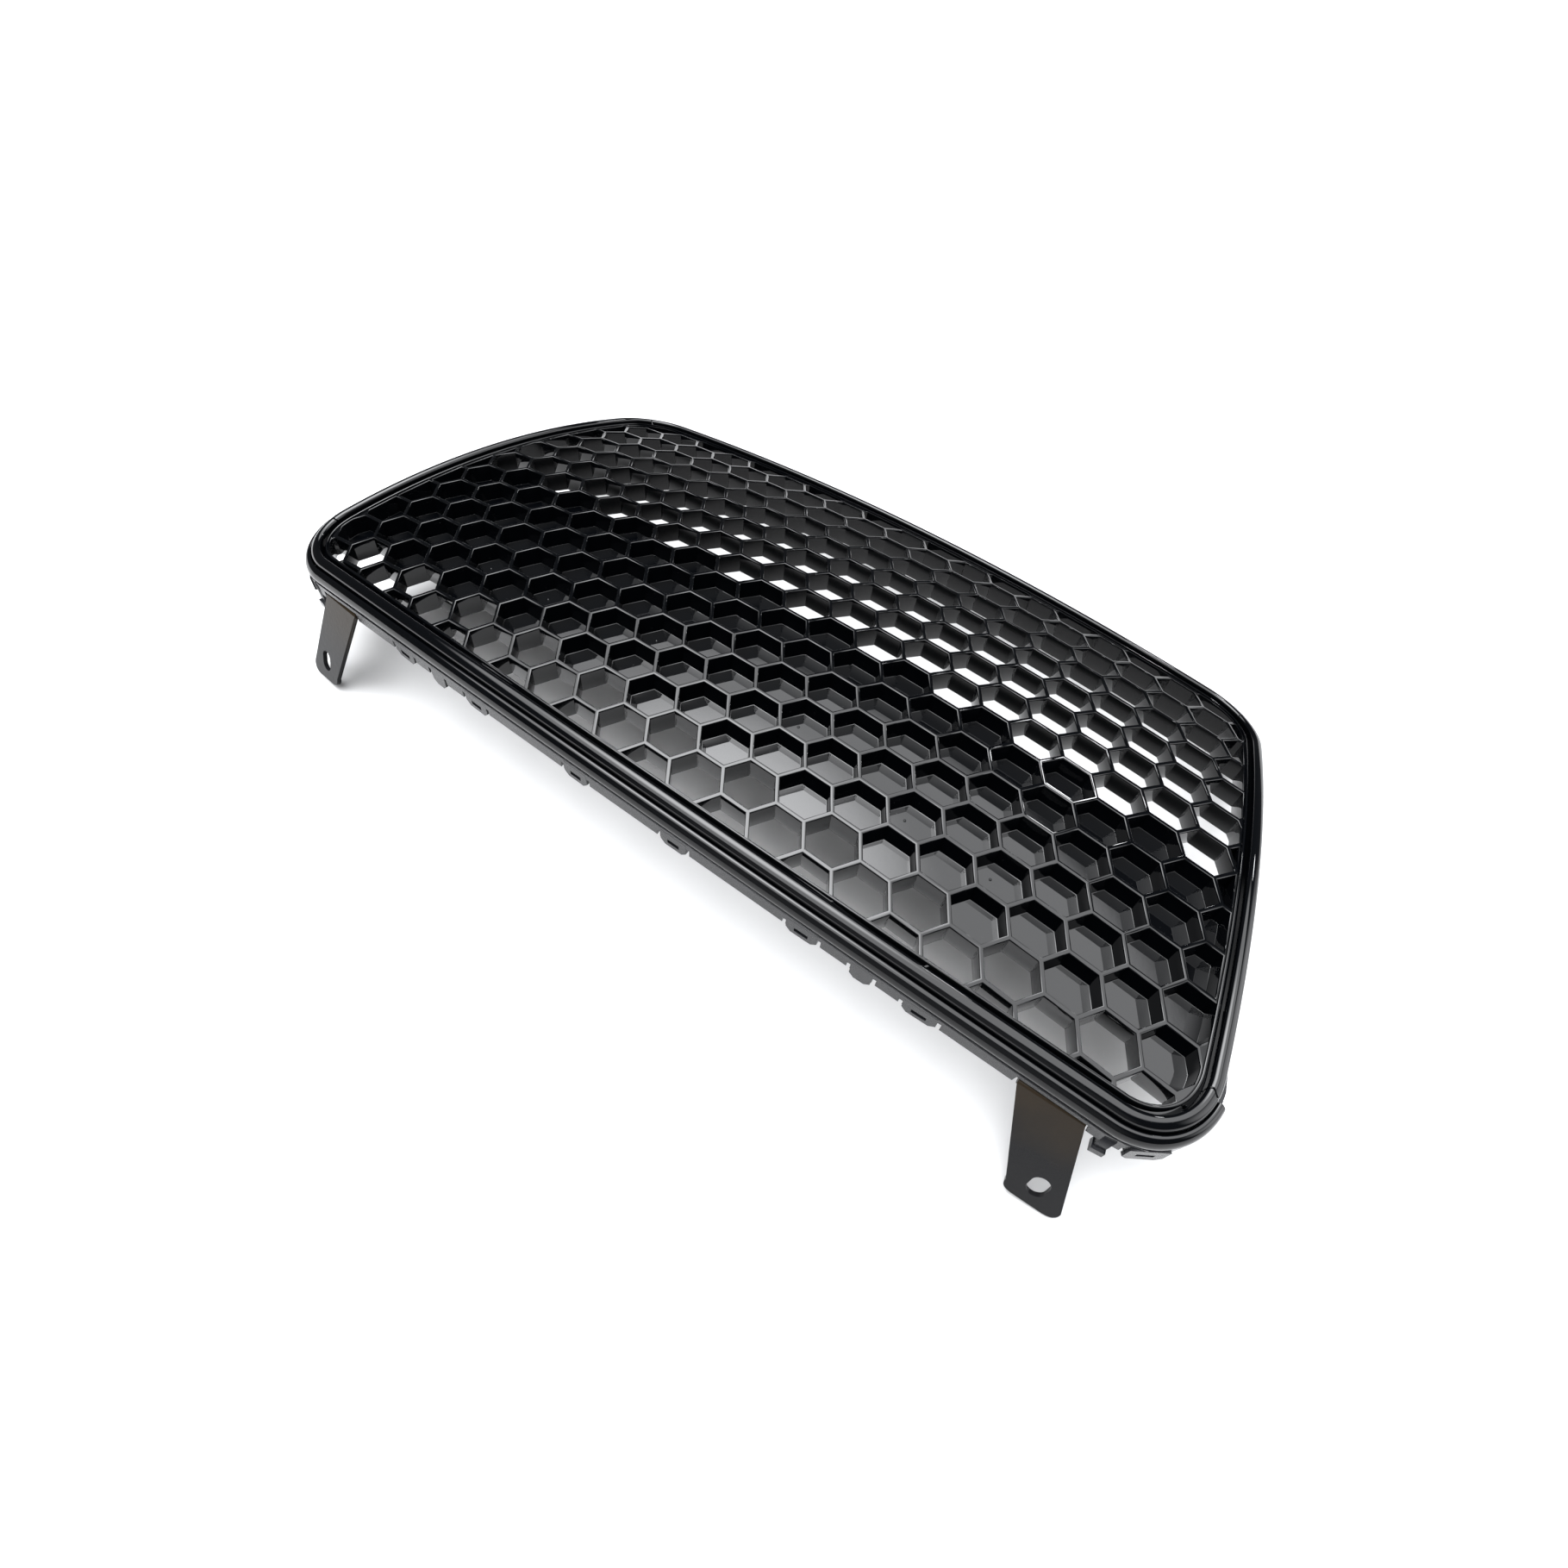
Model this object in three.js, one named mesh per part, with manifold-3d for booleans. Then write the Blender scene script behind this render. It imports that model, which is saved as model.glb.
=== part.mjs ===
// Honeycomb front grille for a car body: a curved mesh insert clamped between a rear carrier and a split
// gloss surround, with a rounded bead along its wide edge and two bolt-on steel brackets. The rows of cells
// across the middle of the insert are blind: a plate closes them at the back.
// Millimetres. The grille is designed in its own frame (X along the wide edge, +Y towards the narrow edge,
// +Z out of the front face) and is then laid down as it rests: on both bracket feet and the narrow edge.
import * as THREE from 'three';
import * as BufferGeometryUtils from 'three/addons/utils/BufferGeometryUtils.js';
import Module from 'manifold-3d';

// ---------- front surface and opening ----------
const SURFACE_RADIUS_X = 1716; // crown of the front face along its width
const SURFACE_RADIUS_Y = 454; // crown of the front face from wide edge to narrow edge
const WIDE_EDGE_Y = -118; // middle of the wide edge of the opening
const WIDE_EDGE_BOW = 8.9; // how far its ends lie behind its middle
const BOW_HANDLE = 1.1; // Bezier handle of the bow as a share of the bow
const WIDE_CORNER = new THREE.Vector2(272.5, -107.5); // where wide edge and side would meet if sharp
const NARROW_CORNER = new THREE.Vector2(223.3, 137.5);
const WIDE_CORNER_CUT = 26; // distance from a corner to where its rounding starts
const NARROW_CORNER_CUT = 24;
const CORNER_FULLNESS = 0.56; // Bezier handle as a share of the cut, close to a circular arc

// ---------- honeycomb ----------
const CELL_PITCH_X = 23.2; // column to column
const CELL_PITCH_Y = 22; // row to row
const CELL_START_Y = -8.5; // centre of the cell nearest the origin
const WALL = 2.2;
const MESH_DEPTH = 12;
const MESH_MARGIN = 0.7; // how far the cell plate reaches into the rim wall
const SLANTED_WALL_SHARE = 0.95; // room a slanted wall takes up along X, as a share of WALL
const COLUMN_OVER_REACH = 1.5; // column pitch of a regular honeycomb over its cells' corner distance
const CORNER_OVER_PITCH = 0.62; // distance of a cell's corners from its centre over the row pitch
const BLIND_FROM_Y = -86; // cells centred between these two heights are blind
const BLIND_TO_Y = 3;
const BACK_PLATE = 2;
const BACK_PLATE_PROUD = 0.5; // how far the back plate stands out behind the cell walls
const BACK_PLATE_LAP = 1.1; // overlap of the tiles that the back plate is joined from
const SLIVER = 0.02; // detail this small is dropped from the insert
const CROWN_STEP = 34; // longest edge of the back plate, so that it follows the crown

// ---------- sections, as distance out from the opening and height over the front surface ----------
const RIM_WIDTH = 1.4; // thin lip of the insert round the opening
const RIM_TOP = 1.1;
const FLANGE_END = 8.8; // flange of the insert that is clamped behind the surround
const FLANGE_TOP = -2.6;
const FLANGE_BOTTOM = -4.6;
const GAP = 0.3; // clearance between touching parts
const SEAM_CUTTER = new THREE.Vector2(60, 120); // reach and height of the slit cut at a seam
const TRIM_IN = 3.4;
const TRIM_OUT = 9.6;
const TRIM_CREST = 3.7;
const BEAD_IN = TRIM_OUT + GAP;
const BEAD_OUT = 14.6;
const BEAD_TOP = 0.8;
const BEAD_BOTTOM = -6.8;
const CARRIER_IN = RIM_WIDTH + GAP;
const CARRIER_OUT = 9.6;
const CARRIER_TOP = FLANGE_BOTTOM - GAP;
const WEB = 2.2; // thickness of the carrier's web
const CARRIER_WALL = 1.8;
const CARRIER_DEPTH = 22; // depth of the outer wall at the sides and the narrow edge
const SKIRT_OUT = 14.2; // outer face of the skirt under the bead
const SKIRT_TOP = BEAD_BOTTOM - GAP;
const SKIRT_BOTTOM = -14.6;
const SKIRT_STEP = 7; // where the web starts to drop towards the skirt
const SKIRT_FADE_START = 50; // the skirt fades out up the sides between these distances below the origin
const SKIRT_FADE_END = 76;

// ---------- fasteners and snap tabs ----------
const SCREW_RADIUS = 1.4;
const SCREW_HEAD_RADIUS = 2.5;
const SCREW_HEAD = 2;
const SCREW_HEAD_CROWN = 0.7; // flat top of the head as a share of its radius
const SCREW_OFFSET = 5; // distance of the screws out from the opening
const SCREW_SEAT_DROP = 1.1; // room under the sloping web for a level screw head
const SCREW_TIP = 0.8; // height of the screw tips over the front surface
const HOLE_CLEARANCE = 0.3;
const BOLT_RADIUS = 2.5;
const BOLT_SPACING = 18;
const BOLT_SETBACK_SHARE = 0.58; // place of the bolts along the bracket's foot
const BOLT_FLANGE_RADIUS = 4.2;
const BOLT_FLANGE = 1.2;
const BOLT_HEAD_ACROSS = 7;
const BOLT_HEAD = 5;
const TAB_TOP_DROP = 1.4; // how far under the web the tabs, the pegs and the slots beside the tabs start
const TAB_CHAMFER = 2.6;
const WINDOW_SHARE = 0.45; // width of a tab's window over the width of the tab
const WINDOW_HEIGHT = 2.6;
const WINDOW_RISE = 0.4; // middle of the window over the lower edge of the skirt
const SLOT_BESIDE_TAB = 1.8;
const SLOT_SETBACK = 1.2; // middle of that slot from the edge of the tab
const NOTCH_CLEARANCE = 3; // extra width of the notch in the skirt for a bracket
const SKIRT_CUTTER = new THREE.Vector2(12, 20); // depth and height of the cutters for the skirt
const SKIRT_CUTTER_SHIFT = -2;
const PEG_SHARE = 0.06; // place of a peg along the rounded corner
const PEG_WIDTH = 5;
const PEG_THICKNESS = 3;
const PEG_BOTTOM = -25;
const HOOK_OVERHANG = 1;
const HOOK_DEPTH = 5;
const HOOK_HEIGHT = 4;
const ROUND = 14; // segments of a small round part

// ---------- brackets ----------
const BRACKET_X = 226; // middle of the bracket at its bend
const BRACKET_WIDTH = 31;
const BRACKET_TOE_WIDTH = 27;
const BRACKET_SHEET = 2.5;
const BRACKET_DROP = new THREE.Vector3(18.5, -18.5, -57); // from the bend to the middle of the toe
const BRACKET_TOE_RADIUS = 6;
const SLOT_RADIUS = 4.3;
const SLOT_STRAIGHT = 4.5;
const SLOT_RISE = 13; // from the toe to the middle of the slot
const SLOT_LEAN_SHARE = 0.93; // how far the slot follows the sideways lean of the toe
const FOOT_LENGTH = 9.6; // flange of the bracket under the carrier
const PAD_BOTTOM = -10.4; // underside of the carrier's pad for the bracket, below the front surface
const PAD_HEIGHT = 3.4;
const PAD_SETBACK = 2.5; // clearance between the bracket's bend and the pad
const BOLT_ENGAGED = 2.6; // length of bolt inside the pad

const { Manifold, Mesh: ManifoldMesh } = await loadManifold();

// Load the boolean library once.
async function loadManifold() {
  const wasm = await Module();
  wasm.setup();
  return wasm;
}

// Turn a closed three.js geometry into a solid for booleans.
function solidOf(geometry) {
  const bare = geometry.clone();
  bare.deleteAttribute('normal');
  bare.deleteAttribute('uv');
  bare.clearGroups();
  const merged = BufferGeometryUtils.mergeVertices(bare, 1e-4);
  return new Manifold(new ManifoldMesh({
    numProp: 3,
    vertProperties: new Float32Array(merged.attributes.position.array),
    triVerts: new Uint32Array(merged.index.array),
  }));
}

// Turn a solid back into a three.js geometry with flat normals.
function geometryOf(solid) {
  const mesh = solid.getMesh();
  const indexed = new THREE.BufferGeometry();
  indexed.setAttribute('position', new THREE.BufferAttribute(new Float32Array(mesh.vertProperties), 3));
  indexed.setIndex(new THREE.BufferAttribute(new Uint32Array(mesh.triVerts), 1));
  const flat = indexed.toNonIndexed();
  flat.computeVertexNormals();
  return flat;
}

// Height of the front surface over the origin.
function frontHeight(x, y) {
  return -(x * x) / (2 * SURFACE_RADIUS_X) - (y * y) / (2 * SURFACE_RADIUS_Y);
}

// Outward unit normal of the front surface.
function frontNormal(x, y) {
  return new THREE.Vector3(x / SURFACE_RADIUS_X, y / SURFACE_RADIUS_Y, 1).normalize();
}

// ---------- outline of the opening ----------
// Eight curves, anticlockwise seen from the front, each with the number of steps it is cut into.
function openingCurves() {
  const mirror = (point) => new THREE.Vector2(-point.x, point.y);
  const middle = new THREE.Vector2(0, WIDE_EDGE_Y - WIDE_EDGE_BOW * BOW_HANDLE);
  const wideStart = WIDE_CORNER.clone().add(middle.clone().sub(WIDE_CORNER).setLength(WIDE_CORNER_CUT));
  const up = NARROW_CORNER.clone().sub(WIDE_CORNER).normalize();
  const sideStart = WIDE_CORNER.clone().addScaledVector(up, WIDE_CORNER_CUT);
  const sideEnd = NARROW_CORNER.clone().addScaledVector(up, -NARROW_CORNER_CUT);
  const farStart = new THREE.Vector2(NARROW_CORNER.x - NARROW_CORNER_CUT, NARROW_CORNER.y);
  const wide = new THREE.QuadraticBezierCurve(mirror(wideStart), middle, wideStart);
  const side = new THREE.LineCurve(sideStart, sideEnd);
  const far = new THREE.LineCurve(farStart, mirror(farStart));
  const wideCorner = cornerCurve(wideStart, WIDE_CORNER, sideStart);
  const narrowCorner = cornerCurve(sideEnd, NARROW_CORNER, farStart);
  return [
    [wide, 16],
    [wideCorner, 7],
    [side, 6],
    [narrowCorner, 6],
    [far, 12],
    [cornerCurve(mirror(farStart), mirror(NARROW_CORNER), mirror(sideEnd)), 6],
    [new THREE.LineCurve(mirror(sideEnd), mirror(sideStart)), 6],
    [cornerCurve(mirror(sideStart), mirror(WIDE_CORNER), mirror(wideStart)), 7],
  ];
}

// A rounded corner from one tangent point to the next.
function cornerCurve(start, apex, end) {
  const first = start.clone().lerp(apex, CORNER_FULLNESS);
  const second = end.clone().lerp(apex, CORNER_FULLNESS);
  return new THREE.CubicBezierCurve(start, first, second, end);
}

// Stations round the opening: a point and the direction out of the opening at each.
function openingStations() {
  return openingCurves().flatMap(([curve, steps]) => Array.from({ length: steps }, (_, step) => {
    const tangent = curve.getTangent(step / steps);
    return { point: curve.getPoint(step / steps), out: new THREE.Vector2(tangent.y, -tangent.x) };
  }));
}

const STATIONS = openingStations();
const STEPS = openingCurves().map(([, steps]) => steps);
const stationOfCurve = (curve) => STEPS.slice(0, curve).reduce((sum, steps) => sum + steps, 0);

// Point at a station, moved out from the opening and up from the front surface.
function stationPoint(index, out, height) {
  const station = STATIONS[((index % STATIONS.length) + STATIONS.length) % STATIONS.length];
  const flat = station.point.clone().addScaledVector(station.out, out);
  return new THREE.Vector3(flat.x, flat.y, frontHeight(flat.x, flat.y) + height);
}

// A section, extruded straight and then bent round the opening from one station on.
// Its points are [out, height]; adapt may change them for a place along the way.
function bent(section, first, count, adapt = (out, height) => [out, height]) {
  const shape = new THREE.Shape(section.map(([out, height]) => new THREE.Vector2(out, height)));
  const closed = count === STATIONS.length;
  const straight = new THREE.ExtrudeGeometry(shape, { depth: count, steps: count, bevelEnabled: false });
  const source = straight.attributes.position;
  const sides = straight.groups.find((group) => group.materialIndex === 1);
  const begin = closed ? sides.start : 0;
  const positions = [];
  for (let corner = begin; corner < source.count; corner += 1) {
    const index = first + Math.round(source.getZ(corner));
    const point = stationPoint(index, 0, 0);
    const [out, height] = adapt(source.getX(corner), source.getY(corner), point);
    positions.push(...stationPoint(index, out, height).toArray());
  }
  const geometry = new THREE.BufferGeometry();
  geometry.setAttribute('position', new THREE.Float32BufferAttribute(positions, 3));
  return outwardSolid(geometry);
}

// Bending can turn a section inside out, so faces are flipped where the volume comes out negative.
function outwardSolid(geometry) {
  const corners = geometry.attributes.position;
  const [a, b, c] = [new THREE.Vector3(), new THREE.Vector3(), new THREE.Vector3()];
  let volume = 0;
  for (let corner = 0; corner < corners.count; corner += 3) {
    a.fromBufferAttribute(corners, corner);
    b.fromBufferAttribute(corners, corner + 1);
    c.fromBufferAttribute(corners, corner + 2);
    volume += a.dot(b.cross(c));
  }
  if (volume < 0) {
    for (let corner = 0; corner < corners.count; corner += 3) {
      b.fromBufferAttribute(corners, corner + 1);
      c.fromBufferAttribute(corners, corner + 2);
      corners.setXYZ(corner + 1, c.x, c.y, c.z);
      corners.setXYZ(corner + 2, b.x, b.y, b.z);
    }
  }
  return solidOf(geometry);
}

// Frame that lies on the front surface: X along the opening's edge, Y into the opening, Z out of the face.
function surfaceFrame(x, y, along) {
  const normal = frontNormal(x, y);
  const inward = new THREE.Vector3().crossVectors(normal, along).normalize();
  const right = new THREE.Vector3().crossVectors(inward, normal);
  return new THREE.Matrix4()
    .makeBasis(right, inward, normal)
    .setPosition(x, y, frontHeight(x, y));
}

// Plan position at a place along one curve of the outline, a given distance out from the opening.
function edgePoint(curveIndex, share, out) {
  const curve = openingCurves()[curveIndex][0];
  const tangent = curve.getTangentAt(share);
  return curve.getPointAt(share).add(new THREE.Vector2(tangent.y, -tangent.x).multiplyScalar(out));
}

// Frame on the front surface at a place along the outline, square to the surface and to the outline.
function edgeFrame(curveIndex, share, out) {
  const flat = edgePoint(curveIndex, share, out);
  const tangent = openingCurves()[curveIndex][0].getTangentAt(share);
  return surfaceFrame(flat.x, flat.y, new THREE.Vector3(tangent.x, tangent.y, 0));
}

// Frame on the front surface that stands upright: X along the outline, Y inwards, Z the grille's own.
function uprightFrame(curveIndex, share, out) {
  const flat = edgePoint(curveIndex, share, out);
  const tangent = openingCurves()[curveIndex][0].getTangentAt(share);
  return new THREE.Matrix4()
    .makeRotationZ(Math.atan2(tangent.y, tangent.x))
    .setPosition(flat.x, flat.y, frontHeight(flat.x, flat.y));
}

function placed(geometry, matrix) {
  return solidOf(geometry.clone().applyMatrix4(matrix));
}

function box(width, depth, height, x, y, z) {
  return new THREE.BoxGeometry(width, depth, height).translate(x, y, z);
}

// A cylinder along Z from one height to another.
function rod(radius, low, high, segments = ROUND) {
  return new THREE.CylinderGeometry(radius, radius, high - low, segments)
    .rotateX(Math.PI / 2)
    .translate(0, 0, (low + high) / 2);
}

// ---------- honeycomb insert ----------
// A six-sided prism with two sides along X, stretched so that its pitch matches the columns.
function cellPrism(wall, low, high) {
  const reach = (CELL_PITCH_Y - wall) / Math.sqrt(3);
  const stretch = (CELL_PITCH_X - wall * SLANTED_WALL_SHARE) / (reach * COLUMN_OVER_REACH);
  return rod(reach, low, high, 6)
    .rotateZ(Math.PI / 6)
    .scale(stretch, 1, 1);
}

// Outline of the cell plate, which reaches a little into the rim.
function plateOutline() {
  return STATIONS.map(({ point, out }) => point.clone().addScaledVector(out, MESH_MARGIN));
}

// The outline filled, between two heights.
function filledOutline(low, high) {
  const shape = new THREE.Shape(plateOutline());
  const block = new THREE.ExtrudeGeometry(shape, { depth: high - low, bevelEnabled: false });
  return solidOf(block.translate(0, 0, low));
}

// Centres of the cells that touch the outline.
function cellCentres() {
  const outline = plateOutline();
  const centres = [];
  const columns = Math.ceil(WIDE_CORNER.x / CELL_PITCH_X);
  const rows = Math.ceil(NARROW_CORNER.y / CELL_PITCH_Y) + 1;
  for (let column = -columns; column <= columns; column += 1) {
    const shift = column % 2 === 0 ? 0 : CELL_PITCH_Y / 2;
    for (let row = -rows; row <= rows; row += 1) {
      const x = column * CELL_PITCH_X;
      const y = CELL_START_Y + shift + row * CELL_PITCH_Y;
      if (cellTouches(x, y, outline)) {
        centres.push(new THREE.Vector2(x, y));
      }
    }
  }
  return centres;
}

// The same prism at each of some centres, as one solid.
function prismsAt(prism, centres) {
  return Manifold.union(centres.map(({ x, y }) => solidOf(prism.clone().translate(x, y, 0))));
}

// The cell plate: the outline filled, with a hole for every cell, then crowned.
function cellPlate() {
  const holes = prismsAt(cellPrism(WALL, -2 * MESH_DEPTH, 2 * MESH_DEPTH), cellCentres());
  return filledOutline(-MESH_DEPTH, 0).subtract(holes).warp(crown);
}

// The plate behind the blind rows: a tile behind each of their cells, joined, cut and crowned.
function backPlate() {
  const bottom = -MESH_DEPTH - BACK_PLATE_PROUD;
  const blind = cellCentres().filter(({ y }) => y > BLIND_FROM_Y && y < BLIND_TO_Y);
  return prismsAt(cellPrism(-BACK_PLATE_LAP, bottom, bottom + BACK_PLATE), blind)
    .intersect(filledOutline(-2 * MESH_DEPTH, 0))
    .refineToLength(CROWN_STEP)
    .warp(crown);
}

// Move a point of the flat plate onto the crowned surface.
function crown(vertex) {
  vertex[2] += frontHeight(vertex[0], vertex[1]);
}

// True if any corner or the centre of a cell lies inside the outline.
function cellTouches(x, y, outline) {
  const inside = (px, py) => outline.reduce((odd, corner, index) => {
    const next = outline[(index + 1) % outline.length];
    const crosses = corner.y > py !== next.y > py;
    const at = corner.x + ((py - corner.y) / (next.y - corner.y)) * (next.x - corner.x);
    return crosses && px < at ? !odd : odd;
  }, false);
  const turns = [0, 1, 2, 3, 4, 5].map((turn) => (turn * Math.PI) / 3);
  const reach = CELL_PITCH_Y * CORNER_OVER_PITCH;
  const cornerInside = (turn) => inside(x + reach * Math.cos(turn), y + reach * Math.sin(turn));
  return inside(x, y) || turns.some(cornerInside);
}

function insertSolid() {
  const rim = [
    [0, -MESH_DEPTH],
    [RIM_WIDTH, -MESH_DEPTH],
    [RIM_WIDTH, FLANGE_BOTTOM],
    [FLANGE_END, FLANGE_BOTTOM],
    [FLANGE_END, FLANGE_TOP],
    [RIM_WIDTH, FLANGE_TOP],
    [RIM_WIDTH, RIM_TOP],
    [0, RIM_TOP],
  ];
  return cellPlate()
    .add(backPlate())
    .add(bent(rim, 0, STATIONS.length))
    .subtract(screwHoles(SCREW_RADIUS + HOLE_CLEARANCE))
    .simplify(SLIVER);
}

// ---------- surround ----------
// Joints of the surround lie where the sides run into the corners.
const SEAM_STATIONS = [
  stationOfCurve(2) - 1,
  stationOfCurve(3) + 3,
  stationOfCurve(6) - 3,
  stationOfCurve(7) + 1,
];

const TRIM_SECTION = [
  [TRIM_IN, FLANGE_TOP + GAP],
  [TRIM_OUT, FLANGE_TOP + GAP],
  [TRIM_OUT, 1.2],
  [TRIM_OUT - 0.7, 2.7],
  [TRIM_OUT - 2.1, TRIM_CREST - 0.2],
  [TRIM_IN + 2.3, TRIM_CREST],
  [TRIM_IN + 0.8, TRIM_CREST - 0.6],
  [TRIM_IN, 1.9],
];

// One length of surround between two seams, shortened a little at each end.
function trimSolid(first, last) {
  const count = (last - first + STATIONS.length) % STATIONS.length;
  const strip = bent(TRIM_SECTION, first, count);
  const slits = [first, last].map((index) => {
    const station = STATIONS[index];
    const turn = Math.atan2(station.out.y, station.out.x);
    const place = new THREE.Matrix4().makeRotationZ(turn).setPosition(station.point.x, station.point.y, 0);
    return placed(box(SEAM_CUTTER.x, GAP, SEAM_CUTTER.y, 0, 0, 0), place);
  });
  const bores = screwHoles(SCREW_RADIUS + HOLE_CLEARANCE, SCREW_TIP + GAP);
  return strip.subtract(Manifold.union(slits)).subtract(bores);
}

function beadSolid() {
  const section = [
    [BEAD_IN, BEAD_BOTTOM + 1],
    [BEAD_IN + 0.8, BEAD_BOTTOM],
    [BEAD_OUT - 1.6, BEAD_BOTTOM],
    [BEAD_OUT - 0.3, -5],
    [BEAD_OUT, -3.4],
    [BEAD_OUT - 0.4, -1.6],
    [BEAD_OUT - 1.3, -0.1],
    [BEAD_OUT - 2.5, BEAD_TOP],
    [BEAD_IN + 0.9, BEAD_TOP],
    [BEAD_IN, BEAD_TOP - 0.8],
  ];
  const first = stationOfCurve(7) + 1;
  const count = STATIONS.length - first + stationOfCurve(2) - 1;
  return bent(section, first, count);
}

// ---------- carrier ----------
// Share of the skirt: 1 along the wide edge, falling to 0 up the sides.
function skirtShare(point) {
  return THREE.MathUtils.smoothstep(-point.y, SKIRT_FADE_START, SKIRT_FADE_END);
}

// The carrier's section at the sides and the narrow edge, and the one under the bead, point for point.
const CARRIER_SECTION = [
  [CARRIER_IN, CARRIER_TOP],
  [CARRIER_IN, CARRIER_TOP - WEB],
  [CARRIER_OUT - CARRIER_WALL - 1, CARRIER_TOP - WEB],
  [CARRIER_OUT - CARRIER_WALL, CARRIER_TOP - WEB],
  [CARRIER_OUT - CARRIER_WALL, -CARRIER_DEPTH],
  [CARRIER_OUT, -CARRIER_DEPTH],
  [CARRIER_OUT, CARRIER_TOP - 0.6],
  [CARRIER_OUT - 0.6, CARRIER_TOP],
];
const SKIRT_SECTION = [
  [CARRIER_IN, CARRIER_TOP],
  [CARRIER_IN, CARRIER_TOP - WEB],
  [SKIRT_OUT - SKIRT_STEP, CARRIER_TOP - WEB],
  [SKIRT_OUT - CARRIER_WALL, SKIRT_TOP - WEB],
  [SKIRT_OUT - CARRIER_WALL, SKIRT_BOTTOM],
  [SKIRT_OUT, SKIRT_BOTTOM],
  [SKIRT_OUT, SKIRT_TOP],
  [FLANGE_END, SKIRT_TOP],
];

// Blend a point of the carrier's section into the matching point of the skirt's.
function carrierAdapt(out, height, point) {
  const distance = ([x, y]) => Math.hypot(x - out, y - height);
  const nearest = CARRIER_SECTION.reduce((best, corner, index) => (
    distance(corner) < distance(CARRIER_SECTION[best]) ? index : best
  ), 0);
  const share = skirtShare(point);
  return [0, 1].map((axis) => (
    THREE.MathUtils.lerp(CARRIER_SECTION[nearest][axis], SKIRT_SECTION[nearest][axis], share)
  ));
}

function carrierSolid() {
  const added = [...snapTabs(), ...bracketPads(), ...locatingPegs()];
  const cuts = [...tabWindows(), ...bracketBoltHoles(), screwHoles(SCREW_RADIUS + HOLE_CLEARANCE)];
  return bent(CARRIER_SECTION, 0, STATIONS.length, carrierAdapt)
    .subtract(Manifold.union(skirtNotches()))
    .add(Manifold.union(added))
    .subtract(Manifold.union(cuts));
}

// Places along the wide edge are given as X; this is the share of the edge's length at which X is reached.
function wideShare(x) {
  const curve = openingCurves()[0][0];
  return (x - curve.v0.x) / (curve.v2.x - curve.v0.x);
}

// Snap tabs hang from the skirt, the same on both halves of the wide edge.
const SNAP_TABS = [
  { x: 31, width: 15, extra: 3.4, windowed: true },
  { x: 103, width: 16, extra: 3.4, windowed: true },
  { x: 134, width: 10.5, extra: 5.4, windowed: false },
  { x: 163, width: 16, extra: 3.4, windowed: true },
];
const CORNER_TAB = { width: 17, extra: 5, windowed: true };
const CORNER_TAB_SHARE = 0.32; // where it sits along the rounded corner

// Every tab with the frame it is made in: X along the skirt, Y inwards, Z out of the face.
function placedTabs() {
  const straight = SNAP_TABS.flatMap((tab) => [-1, 1].map((sign) => (
    { ...tab, frame: uprightFrame(0, wideShare(sign * tab.x), SKIRT_OUT) }
  )));
  const corners = [[1, CORNER_TAB_SHARE], [7, 1 - CORNER_TAB_SHARE]].map(([curve, share]) => (
    { ...CORNER_TAB, frame: uprightFrame(curve, share, SKIRT_OUT) }
  ));
  return [...straight, ...corners];
}

// A tab with chamfered lower corners, seen along Y; its top runs up behind the skirt.
function tabShape(width, depth) {
  return new THREE.Shape([
    new THREE.Vector2(-width / 2, 0),
    new THREE.Vector2(-width / 2, TAB_CHAMFER - depth),
    new THREE.Vector2(TAB_CHAMFER - width / 2, -depth),
    new THREE.Vector2(width / 2 - TAB_CHAMFER, -depth),
    new THREE.Vector2(width / 2, TAB_CHAMFER - depth),
    new THREE.Vector2(width / 2, 0),
  ]);
}

function snapTabs() {
  const top = CARRIER_TOP - WEB - TAB_TOP_DROP;
  return placedTabs().map(({ width, extra, frame }) => {
    const depth = top - SKIRT_BOTTOM + extra;
    const settings = { depth: CARRIER_WALL, bevelEnabled: false };
    const tab = new THREE.ExtrudeGeometry(tabShape(width, depth), settings)
      .rotateX(Math.PI / 2)
      .translate(0, CARRIER_WALL, top);
    return placed(tab, frame);
  });
}

// Windows that the mating hooks catch in.
function tabWindows() {
  const middle = SKIRT_BOTTOM + WINDOW_RISE;
  return placedTabs().filter((tab) => tab.windowed).map(({ width, frame }) => (
    placed(box(width * WINDOW_SHARE, SKIRT_CUTTER.x, WINDOW_HEIGHT, 0, 0, middle), frame)
  ));
}

// Slots either side of every tab and the wide notch for each bracket.
function skirtNotches() {
  const cut = (frame, offset, width, top) => placed(
    box(width, SKIRT_CUTTER.x, SKIRT_CUTTER.y, offset, SKIRT_CUTTER_SHIFT, top - SKIRT_CUTTER.y / 2),
    frame,
  );
  const slotTop = SKIRT_TOP - WEB - TAB_TOP_DROP;
  const beside = placedTabs().flatMap(({ width, frame }) => (
    [-1, 1].map((side) => cut(frame, side * (width / 2 + SLOT_SETBACK), SLOT_BESIDE_TAB, slotTop))
  ));
  const notch = BRACKET_WIDTH + NOTCH_CLEARANCE;
  const brackets = [-1, 1].map((sign) => (
    cut(edgeFrame(0, wideShare(sign * BRACKET_X), SKIRT_OUT), 0, notch, SKIRT_TOP - WEB)
  ));
  return [...beside, ...brackets];
}

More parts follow.
